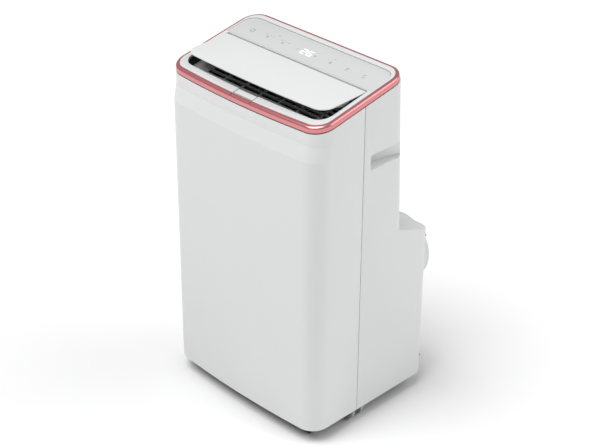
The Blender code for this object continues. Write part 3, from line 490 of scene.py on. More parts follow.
grip_bm = bmesh.new()
for side in (-1, 1):
    shape = [(HALF_W + CUT_REACH, GRIP_Y[0]), (HALF_W - GRIP_DEPTH, GRIP_Y[0]),
             (HALF_W - GRIP_SHALLOW, GRIP_Y[1]), (HALF_W + CUT_REACH, GRIP_Y[1])]
    outline = [grip_bm.verts.new((side * x, y, GRIP_Z[0])) for x, y in shape]
    for v in extruded(grip_bm, [grip_bm.faces.new(outline)]):
        v.co.z = GRIP_Z[1]
front_level = [e for e in grip_bm.edges if lies_at(e, GRIP_Y[0])
               and abs(e.verts[0].co.z - e.verts[1].co.z) < NEAR]
bmesh.ops.bevel(grip_bm, geom=front_level, offset=GRIP_CORNER_R, offset_type="OFFSET",
                segments=4, profile=0.5, affect="EDGES", material=-1)
pocket_bm = bmesh.new()
for side in (-1, 1):
    deep = HALF_W - GRIP_DEPTH - WALL
    shape = [(HALF_W - WALL / 2, GRIP_Y[0] - WALL), (deep, GRIP_Y[0] - WALL), (deep, GRIP_Y[0])]
    outline = [pocket_bm.verts.new((side * x, y, GRIP_Z[0] - WALL))
               for x, y in shape + POCKET_TAIL]
    for v in extruded(pocket_bm, [pocket_bm.faces.new(outline)]):
        v.co.z = GRIP_Z[1] + WALL
trimmed(rear_shell, pocket_bm, "UNION")
trimmed(rear_shell, grip_bm)
window_bm = bmesh.new()
box_into(window_bm, (-INTAKE_X, INTAKE_CUT_Y[0], INTAKE_Z[0]),
         (INTAKE_X, INTAKE_CUT_Y[1], INTAKE_Z[1]))
box_into(window_bm, (grille_low.x - WINDOW_GAP, BOX_Y - CUT_REACH, grille_low.z - WINDOW_GAP),
         (grille_high.x + WINDOW_GAP, BOX_Y + CUT_REACH, grille_high.z + WINDOW_GAP))
through = Vector((0, CUT_REACH, 0))
for centre, radius in PORT_CUTS:
    rod_into(window_bm, centre - through, centre + through, radius, 48)
trimmed(rear_shell, window_bm)
eased(rear_shell, 0.0006, angle=25.0)


# ---- Rose band ----
# The metallised rose band that frames the top. It is pressed over the cover's edge, with a broad
# soft chamfer above; a thin near-black ring in the gap to the casing below is painted shade of that
# gap.
BAND_FOOT = 0.0016
BAND_SMOOTH = math.radians(50)
LIP_X = (-0.0235, 0.0315)
SLIT_W = 0.0011
SLIT_V = (-0.012, 0.0088)
SLIT_Z = (-0.0032, 0.004)
GAP_SHADE_INSET = (0.0006, 0.0030)
GAP_SHADE_Z = (-TRIM_H - 0.0008, -TRIM_H + BAND_FOOT - 0.0001)
top_place = Matrix.Translation((0, FRONT_Y, TOP_Z)) @ Matrix.Rotation(TILT, 4, "X")
BAND_PROFILE = [(0.0, -0.0045), (0.0004, -0.0034), (0.0016, -0.0020), (0.0034, -0.0010),
                (0.0056, -0.0004), (0.0078, -0.0002), (0.0082, -0.0008), (0.0082, -0.0018),
                (0.0032, -0.0026), (0.0032, -TRIM_H + BAND_FOOT), (0.0, -TRIM_H + BAND_FOOT)]


def drawn_in(p, depth):
    """A point of the top's outline moved inwards by depth."""
    side = HALF_W - CORNER_R
    core = Vector((max(-side, min(side, p.x)),
                   max(FRONT_Y + CORNER_R, min(BACK_TOP_Y - CORNER_R, p.y)), 0.0))
    away = Vector((p.x, p.y, 0.0)) - core
    return core + away.normalized() * (away.length - depth)


def ring_of(bm, profile):
    """A closed band round the top: its outline carried through a closed (inset, height) profile."""
    plate(bm, (-HALF_W, FRONT_Y), (HALF_W, BACK_TOP_Y), CORNER_R, CORNER_R, BOW)
    bmesh.ops.delete(bm, geom=bm.faces[:], context="FACES_ONLY")
    start = {v: v.co.copy() for v in bm.verts}
    inset, height = profile[0]
    for v, p in start.items():
        spot = drawn_in(p, inset)
        v.co = (spot.x, spot.y, top_z(spot.y, height))
    first = bm.edges[:]
    moves = [(b[0] - a[0], b[1]) for a, b in zip(profile, profile[1:])]

    def step_in(p, move):
        spot = drawn_in(p, move[0])
        return Vector((spot.x, spot.y, top_z(spot.y, move[1])))

    last = carry(bm, first, moves, step_in)
    bmesh.ops.bridge_loops(bm, edges=first + last)


rose = metal("rose_trim", (0.73, 0.27, 0.28), 0.18, 700.0, 0.00001, 0.06, 0.70)
# Near-black plastic set into narrow gaps round the band and the lip plate: painted shade of those
# gaps.
gap_shade_black = plastic("gap_shade_black", (0.012, 0.014, 0.014), 0.5)
band_bm = bmesh.new()
ring_of(band_bm, BAND_PROFILE)
band = piece("rose_band", band_bm, rose, replaces=["trim_ring"],
             angle=BAND_SMOOTH)
slit_bm = bmesh.new()
for x in LIP_X:
    inward = math.copysign(SLIT_W / 2, -x)
    box_into(slit_bm, (x + inward - SLIT_W / 2, SLIT_V[0], SLIT_Z[0]),
             (x + inward + SLIT_W / 2, SLIT_V[1], SLIT_Z[1]))
bmesh.ops.transform(slit_bm, matrix=top_place, verts=slit_bm.verts)
trimmed(band, slit_bm)
# A thin near-black ring under the band's foot: painted shade of the gap between band and casing.
gap_shade_bm = bmesh.new()
ring_of(gap_shade_bm, [(GAP_SHADE_INSET[0], GAP_SHADE_Z[1]), (GAP_SHADE_INSET[1], GAP_SHADE_Z[1]),
                  (GAP_SHADE_INSET[1], GAP_SHADE_Z[0]), (GAP_SHADE_INSET[0], GAP_SHADE_Z[0])])
piece("band_gap_shade", gap_shade_bm, gap_shade_black)


# ---- Top cover ----
# The white moulding inside the band. It is open over the outlet, whose edge is rounded, and sunk
# at the back for the touch panel; bearings for the flap's pins are cut under its sides.
COVER_INSET = 0.0083
COVER_T = 0.0052
MOUTH_X = 0.197
MOUTH_V = (0.0235, 0.153)
MOUTH_R = 0.030
MOUTH_REAR_R = 0.004
MOUTH_BOW = 0.0045
PANEL_X = 0.2035
PANEL_V = (0.155, 0.228)
PANEL_R = 0.028
PANEL_FRONT_R = 0.003
PANEL_DEEP = 0.0045
LIP_V = (0.0024, 0.0190)
LIP_SEAT = 0.0022
BEARING_X = (0.1900, 0.2088)
BEARING_FRONT = 0.0045
BEARING_CLEAR = 0.0035
flap_joint = next(j for j in frame["joints"] if j["name"] == "flap_hinge")
HINGE = top_place.inverted() @ Vector(flap_joint["pos_m"])
cover_white = plastic("cover_white", (0.67, 0.675, 0.675), 0.42)


def poured(bm, part):
    """Adds a finished bmesh to another and frees it."""
    mesh = bpy.data.meshes.new("part")
    part.to_mesh(mesh)
    part.free()
    bm.from_mesh(mesh)
    bpy.data.meshes.remove(mesh)


def raised(bm, low, high, front_r, back_r, bow, bottom, top, place=top_place):
    """A solid over a rounded outline between two heights in a tilted frame, added to bm."""
    solid = bmesh.new()
    plate(solid, low, high, front_r, back_r, bow, bottom)
    for v in extruded(solid, solid.faces[:]):
        v.co.z = top
    bmesh.ops.transform(solid, matrix=place, verts=solid.verts)
    poured(bm, solid)


cover_bm = bmesh.new()
plate(cover_bm, (-HALF_W, FRONT_Y), (HALF_W, BACK_TOP_Y), CORNER_R, CORNER_R, BOW)
upper = set(extruded(cover_bm, cover_bm.faces[:]))
for v in cover_bm.verts:
    spot = drawn_in(v.co, COVER_INSET)
    v.co = (spot.x, spot.y, top_z(spot.y, 0.0 if v in upper else -COVER_T))
cover = piece("cover", cover_bm, cover_white, replaces=["top_cover"])
opening_bm = bmesh.new()
raised(opening_bm, (-MOUTH_X, MOUTH_V[0]), (MOUTH_X, MOUTH_V[1]), MOUTH_R, MOUTH_REAR_R,
       MOUTH_BOW, -CUT_REACH, CUT_REACH)
trimmed(cover, opening_bm)
sunk_bm = bmesh.new()
raised(sunk_bm, (-PANEL_X, PANEL_V[0]), (PANEL_X, PANEL_V[1]), PANEL_FRONT_R, PANEL_R, 0.0,
       -PANEL_DEEP, CUT_REACH)
trimmed(cover, sunk_bm)
notch_bm = bmesh.new()
box_into(notch_bm, (LIP_X[0], LIP_V[0], -LIP_SEAT), (LIP_X[1], MOUTH_V[0] + 0.01, CUT_REACH))
for side in (-1, 1):
    near, far = sorted(side * x for x in BEARING_X)
    box_into(notch_bm, (near, HINGE.y - BEARING_FRONT, -CUT_REACH),
             (far, HINGE.y + BEARING_CLEAR, HINGE.z + BEARING_CLEAR))
bmesh.ops.transform(notch_bm, matrix=top_place, verts=notch_bm.verts)
trimmed(cover, notch_bm)
eased(cover, 0.0007, 3, 40.0)


# ---- Lip plate ----
# A small plate of the same white plastic let into the front lip of the outlet. It hides the screw
# that holds the cover; a thin near-black sheet under it and strips in its side seams are painted
# shade of the seams.
LIP_GAP = 0.0015
LIP_CORNER_R = 0.0008
LIP_PLATE_Z = (-0.0019, -0.0001)
LIP_SHADE_CLEAR = 0.0001
LIP_SHADE_Z = (-0.00215, -0.0020)
SEAM_SHADE_HALF = 0.0006
SEAM_SHADE_Z = (-0.0021, -0.0006)
lip_bm = bmesh.new()
raised(lip_bm, (LIP_X[0] + LIP_GAP, LIP_V[0] + LIP_GAP), (LIP_X[1] - LIP_GAP, LIP_V[1] - LIP_GAP),
       LIP_CORNER_R, LIP_CORNER_R, 0.0, *LIP_PLATE_Z)
lip_plate = piece("lip_plate", lip_bm, cover_white, replaces=["lip_insert"])
eased(lip_plate, 0.0003, 2, 40.0)
# A near-black sheet under the lip plate and strips in its side seams: painted shade of the seams.
lip_shade_bm = bmesh.new()
box_into(lip_shade_bm, (LIP_X[0] + LIP_SHADE_CLEAR, LIP_V[0] + LIP_SHADE_CLEAR, LIP_SHADE_Z[0]),
         (LIP_X[1] - LIP_SHADE_CLEAR, LIP_V[1], LIP_SHADE_Z[1]))
for x in LIP_X:
    inward = math.copysign(LIP_GAP / 2, -x)
    box_into(lip_shade_bm, (x + inward - SEAM_SHADE_HALF, LIP_V[0] + LIP_SHADE_CLEAR, SEAM_SHADE_Z[0]),
             (x + inward + SEAM_SHADE_HALF, LIP_V[1], SEAM_SHADE_Z[1]))
bmesh.ops.transform(lip_shade_bm, matrix=top_place, verts=lip_shade_bm.verts)
piece("lip_seam_shade", lip_shade_bm, gap_shade_black, merge=1e-7)


# ---- Flap ----
# A thin white moulding that closes the outlet. It turns on two pins along its rear edge, where a
# round barrel stiffens it; two curved arms under its ends run in the throat.
FLAP_OPEN = math.radians(-flap_joint["range_deg"][0])
FLAP_GAP = 0.0015
FLAP_SHORT = 0.0068
FLAP_T = 0.003
FLAP_EDGE = 0.0011
FLAP_REAR_R = 0.002
BARREL_R = 0.0035
BARREL_SHORT = 0.004
PIN_R = 0.0022
PIN_ROOT = 0.006
PIN_REACH = MOUTH_X + 0.0070
flap_place = top_place @ Matrix.Translation((0, HINGE.y, HINGE.z)) @ Matrix.Rotation(
    -FLAP_OPEN, 4, "X")
flap_x = MOUTH_X - FLAP_GAP
flap_top = -HINGE.z
flap_bm = bmesh.new()
raised(flap_bm, (-flap_x, MOUTH_V[0] + FLAP_GAP + FLAP_SHORT - HINGE.y), (flap_x, -FLAP_GAP),
       MOUTH_R - FLAP_GAP, FLAP_REAR_R, MOUTH_BOW, flap_top - FLAP_T, flap_top, flap_place)
flap_white = plastic("flap_white", (0.70, 0.705, 0.705), 0.45)
flap = piece("flap_plate", flap_bm, flap_white, "flap", replaces=["outlet_flap"])
eased(flap, FLAP_EDGE, 3, 40.0)
barrel_bm = bmesh.new()
rod_into(barrel_bm, (-flap_x + BARREL_SHORT, 0, 0), (flap_x - BARREL_SHORT, 0, 0), BARREL_R)
bmesh.ops.transform(barrel_bm, matrix=flap_place, verts=barrel_bm.verts)
piece("flap_barrel", barrel_bm, flap_white, "flap")
pins_bm = bmesh.new()
for side in (-1, 1):
    rod_into(pins_bm, (side * (flap_x - PIN_ROOT), 0, 0), (side * PIN_REACH, 0, 0), PIN_R)
bmesh.ops.transform(pins_bm, matrix=flap_place, verts=pins_bm.verts)
eased(piece("flap_pins", pins_bm, flap_white, "flap"), 0.0004)

ARM_X = (0.1830, 0.1865)
ARM_FROM, ARM_LONG, ARM_DROP = -0.020, 0.070, 0.012
ARM_PARTS = 14
ARM_ROOT = 0.0004
ARM_END_T = 0.0002
arms_bm = bmesh.new()
for side in (-1, 1):
    strip = bmesh.new()
    rail = [strip.verts.new((side * ARM_X[0], ARM_FROM - ARM_LONG * i / ARM_PARTS,
                             flap_top - FLAP_T + ARM_ROOT)) for i in range(ARM_PARTS + 1)]
    edges = [strip.edges.new(pair) for pair in zip(rail, rail[1:])]

    def sag(p, step):
        along = (ARM_FROM - p.y) / ARM_LONG
        return Vector((p.x, p.y, p.z - step * math.sin(math.pi * along) - ARM_END_T))

    carry(strip, edges, [ARM_DROP], sag)
    for v in extruded(strip, strip.faces[:]):
        v.co.x = side * ARM_X[1]
    bmesh.ops.recalc_face_normals(strip, faces=strip.faces)
    bmesh.ops.transform(strip, matrix=flap_place, verts=strip.verts)
    poured(arms_bm, strip)
eased(piece("flap_arms", arms_bm, flap_white, "flap"), 0.0005)


# ---- Touch panel ----
# A glossy moulded panel that lies in the cover behind the hinge and sinks a little to the back.
# Its keys are printed: thin marks in grey ink, and two lit digits that shine through.
PANEL_GAP = 0.0007
PANEL_T = 0.0042
PANEL_EDGE_R = 0.0025
PANEL_DROP = 0.0001
PANEL_SINK = 0.0015
PRINT_RISE = 0.00012
panel_gloss = plastic("panel_gloss", (0.615, 0.62, 0.62), 0.22, 900.0, 0.00001, 0.02, 0.5)
printed_grey = plastic("printed_grey", (0.22, 0.225, 0.225), 0.5, 600.0, 0.00001)
panel_bm = bmesh.new()
raised(panel_bm, (-PANEL_X + PANEL_GAP, PANEL_V[0] + PANEL_GAP),
       (PANEL_X - PANEL_GAP, PANEL_V[1] - PANEL_GAP), PANEL_EDGE_R, PANEL_R - PANEL_GAP, 0.0,
       -PANEL_T, 0.0, Matrix())


def panel_face(v):
    """Height of the panel's face at v."""
    return -PANEL_DROP - PANEL_SINK * (v - PANEL_V[0]) / (PANEL_V[1] - PANEL_V[0])


for vert in panel_bm.verts:
    if vert.co.z > -PANEL_T / 2:
        vert.co.z = panel_face(vert.co.y)
bmesh.ops.transform(panel_bm, matrix=top_place, verts=panel_bm.verts)
panel = piece("touch_panel", panel_bm, panel_gloss, replaces=["control_panel"])
eased(panel, 0.0006, 3, 40.0)


def mark_bar(bm, x, v, long, wide, turn=0.0):
    """A printed bar on the panel, centred at (x, v)."""
    lean = math.atan2(panel_face(v + 0.01) - panel_face(v), 0.01)
    place = (top_place @ Matrix.Translation((x, v, panel_face(v) + PRINT_RISE / 2))
             @ Matrix.Rotation(lean, 4, "X") @ Matrix.Rotation(turn, 4, "Z"))
    made = box_into(bm, (-long / 2, -wide / 2, -PRINT_RISE / 2),
                    (long / 2, wide / 2, PRINT_RISE / 2))
    bmesh.ops.transform(bm, matrix=place, verts=made)


def mark_ring(bm, x, v, radius, wide, parts, drawn=None):
    """A printed ring of short bars; drawn says which of the parts are there."""
    for i in range(parts):
        if drawn and i not in drawn:
            continue
        a = math.tau * (i + 0.5) / parts
        mark_bar(bm, x + radius * math.cos(a), v + radius * math.sin(a),
                 math.tau * radius / parts * RING_OVERLAP, wide, a + math.pi / 2)


RING_OVERLAP = 1.15
MARK_W = 0.0011
KEY_V = 0.1860
LAMP_V = 0.1850
POWER_X, TIMER_X, MODE_X, CYCLE_X = -0.158, 0.065, 0.110, 0.155
LAMP_X = (-0.114, -0.070)
LESS_X, MORE_X = -0.0275, 0.0225
POWER_GAP = {5, 6}
MODE_ARCS = {1, 2, 3, 4, 5, 8, 9, 10}
CYCLE_ARCS = set(range(3, 9)) | set(range(13, 19))
marks_bm = bmesh.new()
mark_ring(marks_bm, POWER_X, KEY_V, 0.0050, MARK_W, 24, drawn=set(range(24)) - POWER_GAP)
mark_bar(marks_bm, POWER_X, 0.1905, 0.0040, MARK_W, math.pi / 2)
for centre in LAMP_X:
    mark_ring(marks_bm, centre, LAMP_V, 0.0021, MARK_W, 10)
    mark_bar(marks_bm, centre - 0.0075, 0.1920, 0.0052, MARK_W)
    mark_bar(marks_bm, centre + 0.0050, 0.1915, 0.0042, MARK_W)
    mark_bar(marks_bm, centre + 0.0130, 0.1915, 0.0042, MARK_W)
mark_bar(marks_bm, -0.093, 0.2010, 0.0060, MARK_W)
for x, upright in ((LESS_X, 0.0012), (MORE_X, 0.0050)):
    mark_bar(marks_bm, x, KEY_V, 0.0050, MARK_W)
    mark_bar(marks_bm, x, KEY_V, upright, MARK_W, math.pi / 2)
mark_ring(marks_bm, TIMER_X, LAMP_V, 0.0024, MARK_W, 10)
mark_bar(marks_bm, 0.066, 0.1990, 0.0044, MARK_W)
mark_ring(marks_bm, MODE_X, KEY_V, 0.0036, MARK_W, 14, drawn=MODE_ARCS)
mark_bar(marks_bm, MODE_X, KEY_V, 0.0030, MARK_W, 0.8)
mark_ring(marks_bm, CYCLE_X, KEY_V, 0.0046, MARK_W, 20, drawn=CYCLE_ARCS)
piece("key_marks", marks_bm, printed_grey, merge=1e-7)

DIGIT_HIGH = 0.0175
DIGIT_WIDE = 0.0125
DIGIT_BAR = 0.0021
DIGIT_X = {"2": -0.0095, "6": 0.0075}
DIGIT_GLOW = 0.35
UPRIGHT_SHORT = 0.0004
LEVEL_SHORT = 0.0012
SEGMENTS = {"top": (0, 1), "upper_left": (-1, 0.5), "upper_right": (1, 0.5), "middle": (0, 0),
            "lower_left": (-1, -0.5), "lower_right": (1, -0.5), "bottom": (0, -1)}
DIGITS = {"2": ("top", "upper_right", "middle", "lower_left", "bottom"),
          "6": ("top", "upper_left", "middle", "lower_left", "lower_right", "bottom")}
digit_lit = plastic("digit_lit", (0.95, 0.97, 0.97), 0.5, 600.0, 0.00001)
lit_inputs = digit_lit.node_tree.nodes["Principled BSDF"].inputs
lit_inputs["Emission Color"].default_value = (1, 1, 1, 1)
lit_inputs["Emission Strength"].default_value = DIGIT_GLOW
digits_bm = bmesh.new()
for digit, centre in DIGIT_X.items():
    for segment in DIGITS[digit]:
        across, along = SEGMENTS[segment]
        upright = across != 0
        mark_bar(digits_bm, centre + across * (DIGIT_WIDE - DIGIT_BAR) / 2,
                 KEY_V + along * (DIGIT_HIGH - DIGIT_BAR) / 2,
                 DIGIT_HIGH / 2 - UPRIGHT_SHORT if upright else DIGIT_WIDE - LEVEL_SHORT,
                 DIGIT_BAR, math.pi / 2 if upright else 0.0)
piece("lit_digits", digits_bm, digit_lit, merge=1e-7)


# ---- Board under the panel ----
# The key and display board: glass-fibre laminate under green solder mask, with the block of the
# digits on it. It is held to the underside of the cover, below the panel.
def dress(material, *names):
    """Gives a finish to pieces that keep the shape they came with."""
    for name in names:
        frame["nodes"][name].data.materials.clear()
        frame["nodes"][name].data.materials.append(material)


board_green = plastic("board_green", (0.02, 0.16, 0.07), 0.35, 300.0, 0.00004, 0.3)
dress(board_green, "display_board")


# ---- Throat, guard and vanes ----
# The dark moulded throat under the mouth with its slotted guard, and seven upright vanes below
# it on one tie bar. All are black-grey ABS with a dull spark grain.
guard_grey = plastic("guard_grey", (0.36, 0.36, 0.36), 0.5, 900.0, 0.00004, 0.1)
throat_black = plastic("throat_black", (0.014, 0.014, 0.014), 0.5, 900.0, 0.00004, 0.1)
vane_black = plastic("vane_black", (0.03, 0.03, 0.03), 0.45, 900.0, 0.00003, 0.1)


FLAT = math.radians(0.8)


def finished_copy(name, node, material, body, width, segments=2):
    """A piece made from a node's own shape, its triangles merged and its sharp edges rounded."""
    bm = bmesh.new()
    bm.from_mesh(frame["nodes"][node].data)
    bmesh.ops.remove_doubles(bm, verts=bm.verts, dist=NEAR)
    bmesh.ops.dissolve_limit(bm, angle_limit=FLAT, verts=bm.verts[:], edges=bm.edges[:])
    eased(piece(name, bm, material, body, replaces=[node]), width, segments)


finished_copy("guard", "outlet_grille", guard_grey, "casing", 0.0005)
finished_copy("throat", "outlet_duct", throat_black, "casing", 0.0004)
dress(vane_black, "vane_link", *(f"vane_{i}" for i in range(1, 8)))


# ---- Intake grille and filter ----
# The white louvred grille of the upper back, which tilts out on its lower edge, and the woven
# dust filter clipped behind it. The filter is grey nylon mesh.
THREAD_SHADE = (0.35, 0.7)
THREAD_SHINE = 0.3
finished_copy("intake_louvre", "intake_grille", casing_white, "intake", 0.0006)


def woven_surface():
    """Square woven mesh: two sets of fine ribs, darker where they part."""
    tree, takes, gives = new_group(
        "woven_surface",
        [("Coordinates", VECTOR, None), ("Tint", COLOUR, (0.4, 0.4, 0.4, 1.0)),
         ("Threads", FLOAT, 500.0)],
        [("Colour", COLOUR), ("Roughness", FLOAT), ("Height", FLOAT)])
    split = tree.nodes.new("ShaderNodeSeparateXYZ")
    tree.links.new(takes["Coordinates"], split.inputs[0])
    ribs = []
    for axis in ("X", "Z"):
        angle = math_node(tree, "MULTIPLY", split.outputs[axis], takes["Threads"])
        wave = math_node(tree, "SINE", math_node(tree, "MULTIPLY", angle, math.tau))
        ribs.append(math_node(tree, "ABSOLUTE", wave))
    height = math_node(tree, "MAXIMUM", ribs[0], ribs[1])
    lit = math_node(tree, "MULTIPLY", height, THREAD_SHADE[1])
    shade = math_node(tree, "ADD", lit, THREAD_SHADE[0])
    tree.links.new(toned(tree, takes["Tint"], shade), gives["Colour"])
    shine = math_node(tree, "MULTIPLY", height, THREAD_SHINE)
    tree.links.new(math_node(tree, "SUBTRACT", 1.0, shine), gives["Roughness"])
    tree.links.new(height, gives["Height"])
    return tree


filter_mesh = finish_of("filter_mesh", woven_surface(), (0.20, 0.22, 0.24), 0.0002,
                        {"Threads": 350.0})
dress(filter_mesh, "air_filter")


# ---- Lower grille and coils ----
# A black slotted grille over the lower coil. Both coils are packs of thin aluminium fins pressed
# on copper tubes, whose return bends stand out at the ends.
grille_black = plastic("grille_black", (0.045, 0.045, 0.045), 0.45, 900.0, 0.00004, 0.1)
finished_copy("lower_grille", "condenser_grille", grille_black, "casing", 0.0005)
fin_aluminium = metal("fin_aluminium", (0.72, 0.73, 0.74), 0.35, 500.0, 0.00002, 0.2)
pipe_copper = metal("pipe_copper", (0.72, 0.36, 0.22), 0.30, 300.0, 0.00002, 0.35)
FIN_PITCH = 0.0019
FIN_T = 0.0004
BENDS = 6
BEND_REACH = 0.011
BEND_SHARE = 0.34
BEND_ROOT = 0.002
LEAST_RUN = 0.0005
TUBE_R = 0.0036


def finned_coil(name, node):
    """A pack of fins and, as a second piece, the bends of its tubes."""
    low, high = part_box(node)
    low = low + Vector((BEND_REACH, 0, 0))
    high = high - Vector((BEND_REACH, 0, 0))
    fins = bmesh.new()
    count = int((high.x - low.x) / FIN_PITCH)
    for i in range(count + 1):
        x = low.x + i * (high.x - low.x - FIN_T) / count
        box_into(fins, (x, low.y, low.z), (x + FIN_T, high.y, high.z))
    piece(name + "_fins", fins, fin_aluminium, replaces=[node])
    tubes = bmesh.new()
    step = (high.z - low.z) / BENDS
    middle = (low.y + high.y) / 2
    turn = step * BEND_SHARE - TUBE_R
    reach = max(BEND_REACH - TUBE_R - turn, LEAST_RUN)
    for i in range(BENDS):
        z = low.z + step * (i + 0.5)
        for face, out in ((low.x, -1), (high.x, 1)):
            first = bmesh.ops.create_circle(
                tubes, segments=10, radius=TUBE_R,
                matrix=Matrix.Translation((face - out * BEND_ROOT, middle, z - turn))
                @ Matrix.Rotation(math.radians(90), 4, "Y"))["verts"]
            rim = list({e for v in first for e in v.link_edges})
            run = bmesh.ops.extrude_edge_only(tubes, edges=rim)["geom"]
            moved = [g for g in run if isinstance(g, bmesh.types.BMVert)]
            bmesh.ops.translate(tubes, verts=moved, vec=(out * (reach + BEND_ROOT), 0, 0))
            edges = [g for g in run if isinstance(g, bmesh.types.BMEdge)]
            bmesh.ops.spin(tubes, geom=edges, cent=(face + out * reach, middle, z),
                           axis=(0, -out, 0), angle=math.pi, steps=8)
    bmesh.ops.holes_fill(tubes, edges=[e for e in tubes.edges if e.is_boundary])
    piece(name + "_bends", tubes, pipe_copper)


finned_coil("lower_coil", "condenser_coil")
finned_coil("upper_coil", "evaporator_coil")


# ---- Hose collar ----
# The round white collar that the exhaust hose twists onto: a flange against the back, a rolled
# rim, and three small bayonet lugs inside it.
def spun(bm, profile, steps, place):
    """A closed (radius, height) profile turned about Z and placed, added to bm."""
    part = bmesh.new()
    ring = [part.verts.new((r, 0.0, z)) for r, z in profile]
    edges = [part.edges.new((a, b)) for a, b in zip(ring, ring[1:] + ring[:1])
             if max(a.co.x, b.co.x) > NEAR]
    bmesh.ops.spin(part, geom=ring + edges, cent=(0, 0, 0), axis=(0, 0, 1), steps=steps,
                   angle=math.tau, use_merge=True)
    bmesh.ops.remove_doubles(part, verts=part.verts, dist=NEAR)
    bmesh.ops.recalc_face_normals(part, faces=part.faces)
    bmesh.ops.transform(part, matrix=place, verts=part.verts)
    poured(bm, part)


def rearward(centre):
    """The place of a port in the back, its own Z pointing out behind."""
    return Matrix.Translation(centre) @ Matrix.Rotation(math.radians(-90), 4, "X")


collar_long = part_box("exhaust_collar")[1].y - BOX_Y
r_in, r_out = COLLAR_R
COLLAR_PROFILE = [(r_in, 0.0003), (0.0812, 0.0003), (0.0815, 0.0006), (0.0815, 0.0026),
                  (0.0808, 0.0033), (0.0768, 0.0037), (r_out, 0.0050), (r_out, 0.0150),
                  (0.0742, 0.0160), (0.0742, 0.0175), (r_out, 0.0185),
                  (r_out, collar_long - 0.0018), (r_out - 0.0010, collar_long - 0.0004),
                  (r_out - 0.0024, collar_long), (r_in + 0.0012, collar_long - 0.0004),
                  (r_in, collar_long - 0.0018)]
LUGS = 3
LUG_TURN = 0.5
LUG_LOW = (r_in - 0.0035, -0.007, collar_long - 0.0110)
LUG_HIGH = (r_in + 0.0010, 0.007, collar_long - 0.0070)
collar_bm = bmesh.new()
spun(collar_bm, COLLAR_PROFILE, 96, rearward(COLLAR))
for i in range(LUGS):
    turn = Matrix.Rotation(math.tau * i / LUGS + LUG_TURN, 4, "Z")
    lug = box_into(collar_bm, LUG_LOW, LUG_HIGH)
    bmesh.ops.transform(collar_bm, matrix=rearward(COLLAR) @ turn, verts=lug)
piece("hose_collar", collar_bm, casing_white, replaces=["exhaust_collar"])


# ---- Cord hooks, gland and drain plug ----
# White moulded hooks to wind the lead on, the black gland that the lead comes out of, and the
# rubber plug of the drain with its ribbed grip.
for hand in ("left", "right"):
    finished_copy(f"hook_{hand}", f"cord_hook_{hand}", casing_white, "casing",
                  0.0008, 3)
gland_black = plastic("gland_black", (0.022, 0.022, 0.022), 0.5, 900.0, 0.00003, 0.1)
GLAND_BORE, GLAND_R = 0.0042, 0.0075
GLAND_PROFILE = [(GLAND_BORE, 0.0055), (0.0046, 0.0060), (0.0090, 0.0060), (0.0096, 0.0056),
                 (0.0113, 0.0032), (0.0115, 0.0026), (0.0115, 0.0003), (GLAND_R, 0.0003),
                 (GLAND_R, -0.0080), (GLAND_BORE, -0.0080)]
gland_bm = bmesh.new()
spun(gland_bm, GLAND_PROFILE, 40, rearward(GLAND))
piece("lead_gland", gland_bm, gland_black, replaces=["cord_gland"])
foot_rubber = plastic("foot_rubber", (0.012, 0.012, 0.012), 0.85, 500.0, 0.00008, 0.2)
DRAIN_R = 0.0085
PLUG_PROFILE = [(0.0, 0.0040), (0.0060, 0.0040), (0.0066, 0.0034), (0.0094, 0.0034),
                (0.0100, 0.0040), (0.0118, 0.0040), (0.0124, 0.0034), (0.0125, 0.0010),
                (0.0122, 0.0003), (DRAIN_R, 0.0003), (DRAIN_R, -0.0020), (0.0080, -0.0026),
                (DRAIN_R - 0.0002, -0.0036), (0.0079, -0.0080), (0.0, -0.0080)]
plug_bm = bmesh.new()
spun(plug_bm, PLUG_PROFILE, 40, rearward(DRAIN))
piece("rubber_plug", plug_bm, foot_rubber, "drain_plug", replaces=["drain_plug"])


# ---- Case screws ----
# Zinc-plated steel screws that join the casing at the back: four up the leaning back and six round
# the box. Each has a low pan head with a cross recess pressed into it.
SCREW_R = 0.0034
SCREW_H = 0.0016
SCREW_PROFILE = [(0.0, 0.0), (SCREW_R, 0.0), (SCREW_R, 0.0006), (SCREW_R * 0.82, 0.0012),
                 (SCREW_R * 0.5, SCREW_H), (0.0, SCREW_H)]
UPPER_SPOTS = [(x, z) for x in (-0.182, 0.182) for z in (0.700, 0.520)]
BOX_SPOTS = [(x, z) for x in (-0.190, 0.196, 0.040) for z in (0.365, 0.060)]
CROSS_LOW = (-0.0019, -0.0004, 0.0007)
CROSS_HIGH = (0.0019, 0.0004, 0.0030)
CROSS_TURN = 0.3
screw_zinc = metal("screw_zinc", (0.62, 0.62, 0.60), 0.30, 500.0, 0.00002, 0.3)


def back_y(z):
    """Depth of the leaning back's face at height z."""
    foot, head = LID_FRONT_Z, top_z(BACK_TOP_Y, -TRIM_H)
    return BACK_LOW_Y + (BACK_TOP_Y - BACK_LOW_Y) * (z - foot) / (head - foot)


lean = math.atan2(BACK_LOW_Y - BACK_TOP_Y, top_z(BACK_TOP_Y, -TRIM_H) - LID_FRONT_Z)
places = [Matrix.Translation((x, back_y(z), z)) @ Matrix.Rotation(math.radians(-90) + lean, 4, "X")
          for x, z in UPPER_SPOTS]
places += [rearward(Vector((x, BOX_Y, z))) for x, z in BOX_SPOTS]
screws_bm = bmesh.new()
for place in places:
    spun(screws_bm, SCREW_PROFILE, 24, place)
screws = piece("case_screws", screws_bm, screw_zinc)
cross_bm = bmesh.new()
for place in places:
    for turn in (0.0, math.pi / 2):
        bar = box_into(cross_bm, CROSS_LOW, CROSS_HIGH)
        bmesh.ops.transform(cross_bm, matrix=place @ Matrix.Rotation(turn + CROSS_TURN, 4, "Z"),
                            verts=bar)
cross = piece("cross_recess", cross_bm, screw_zinc)
modifier = screws.modifiers.new("recess", "BOOLEAN")
modifier.operation = "DIFFERENCE"
modifier.solver = "EXACT"
modifier.use_self = True
modifier.object = cross
settle(screws)
bpy.data.objects.remove(cross)


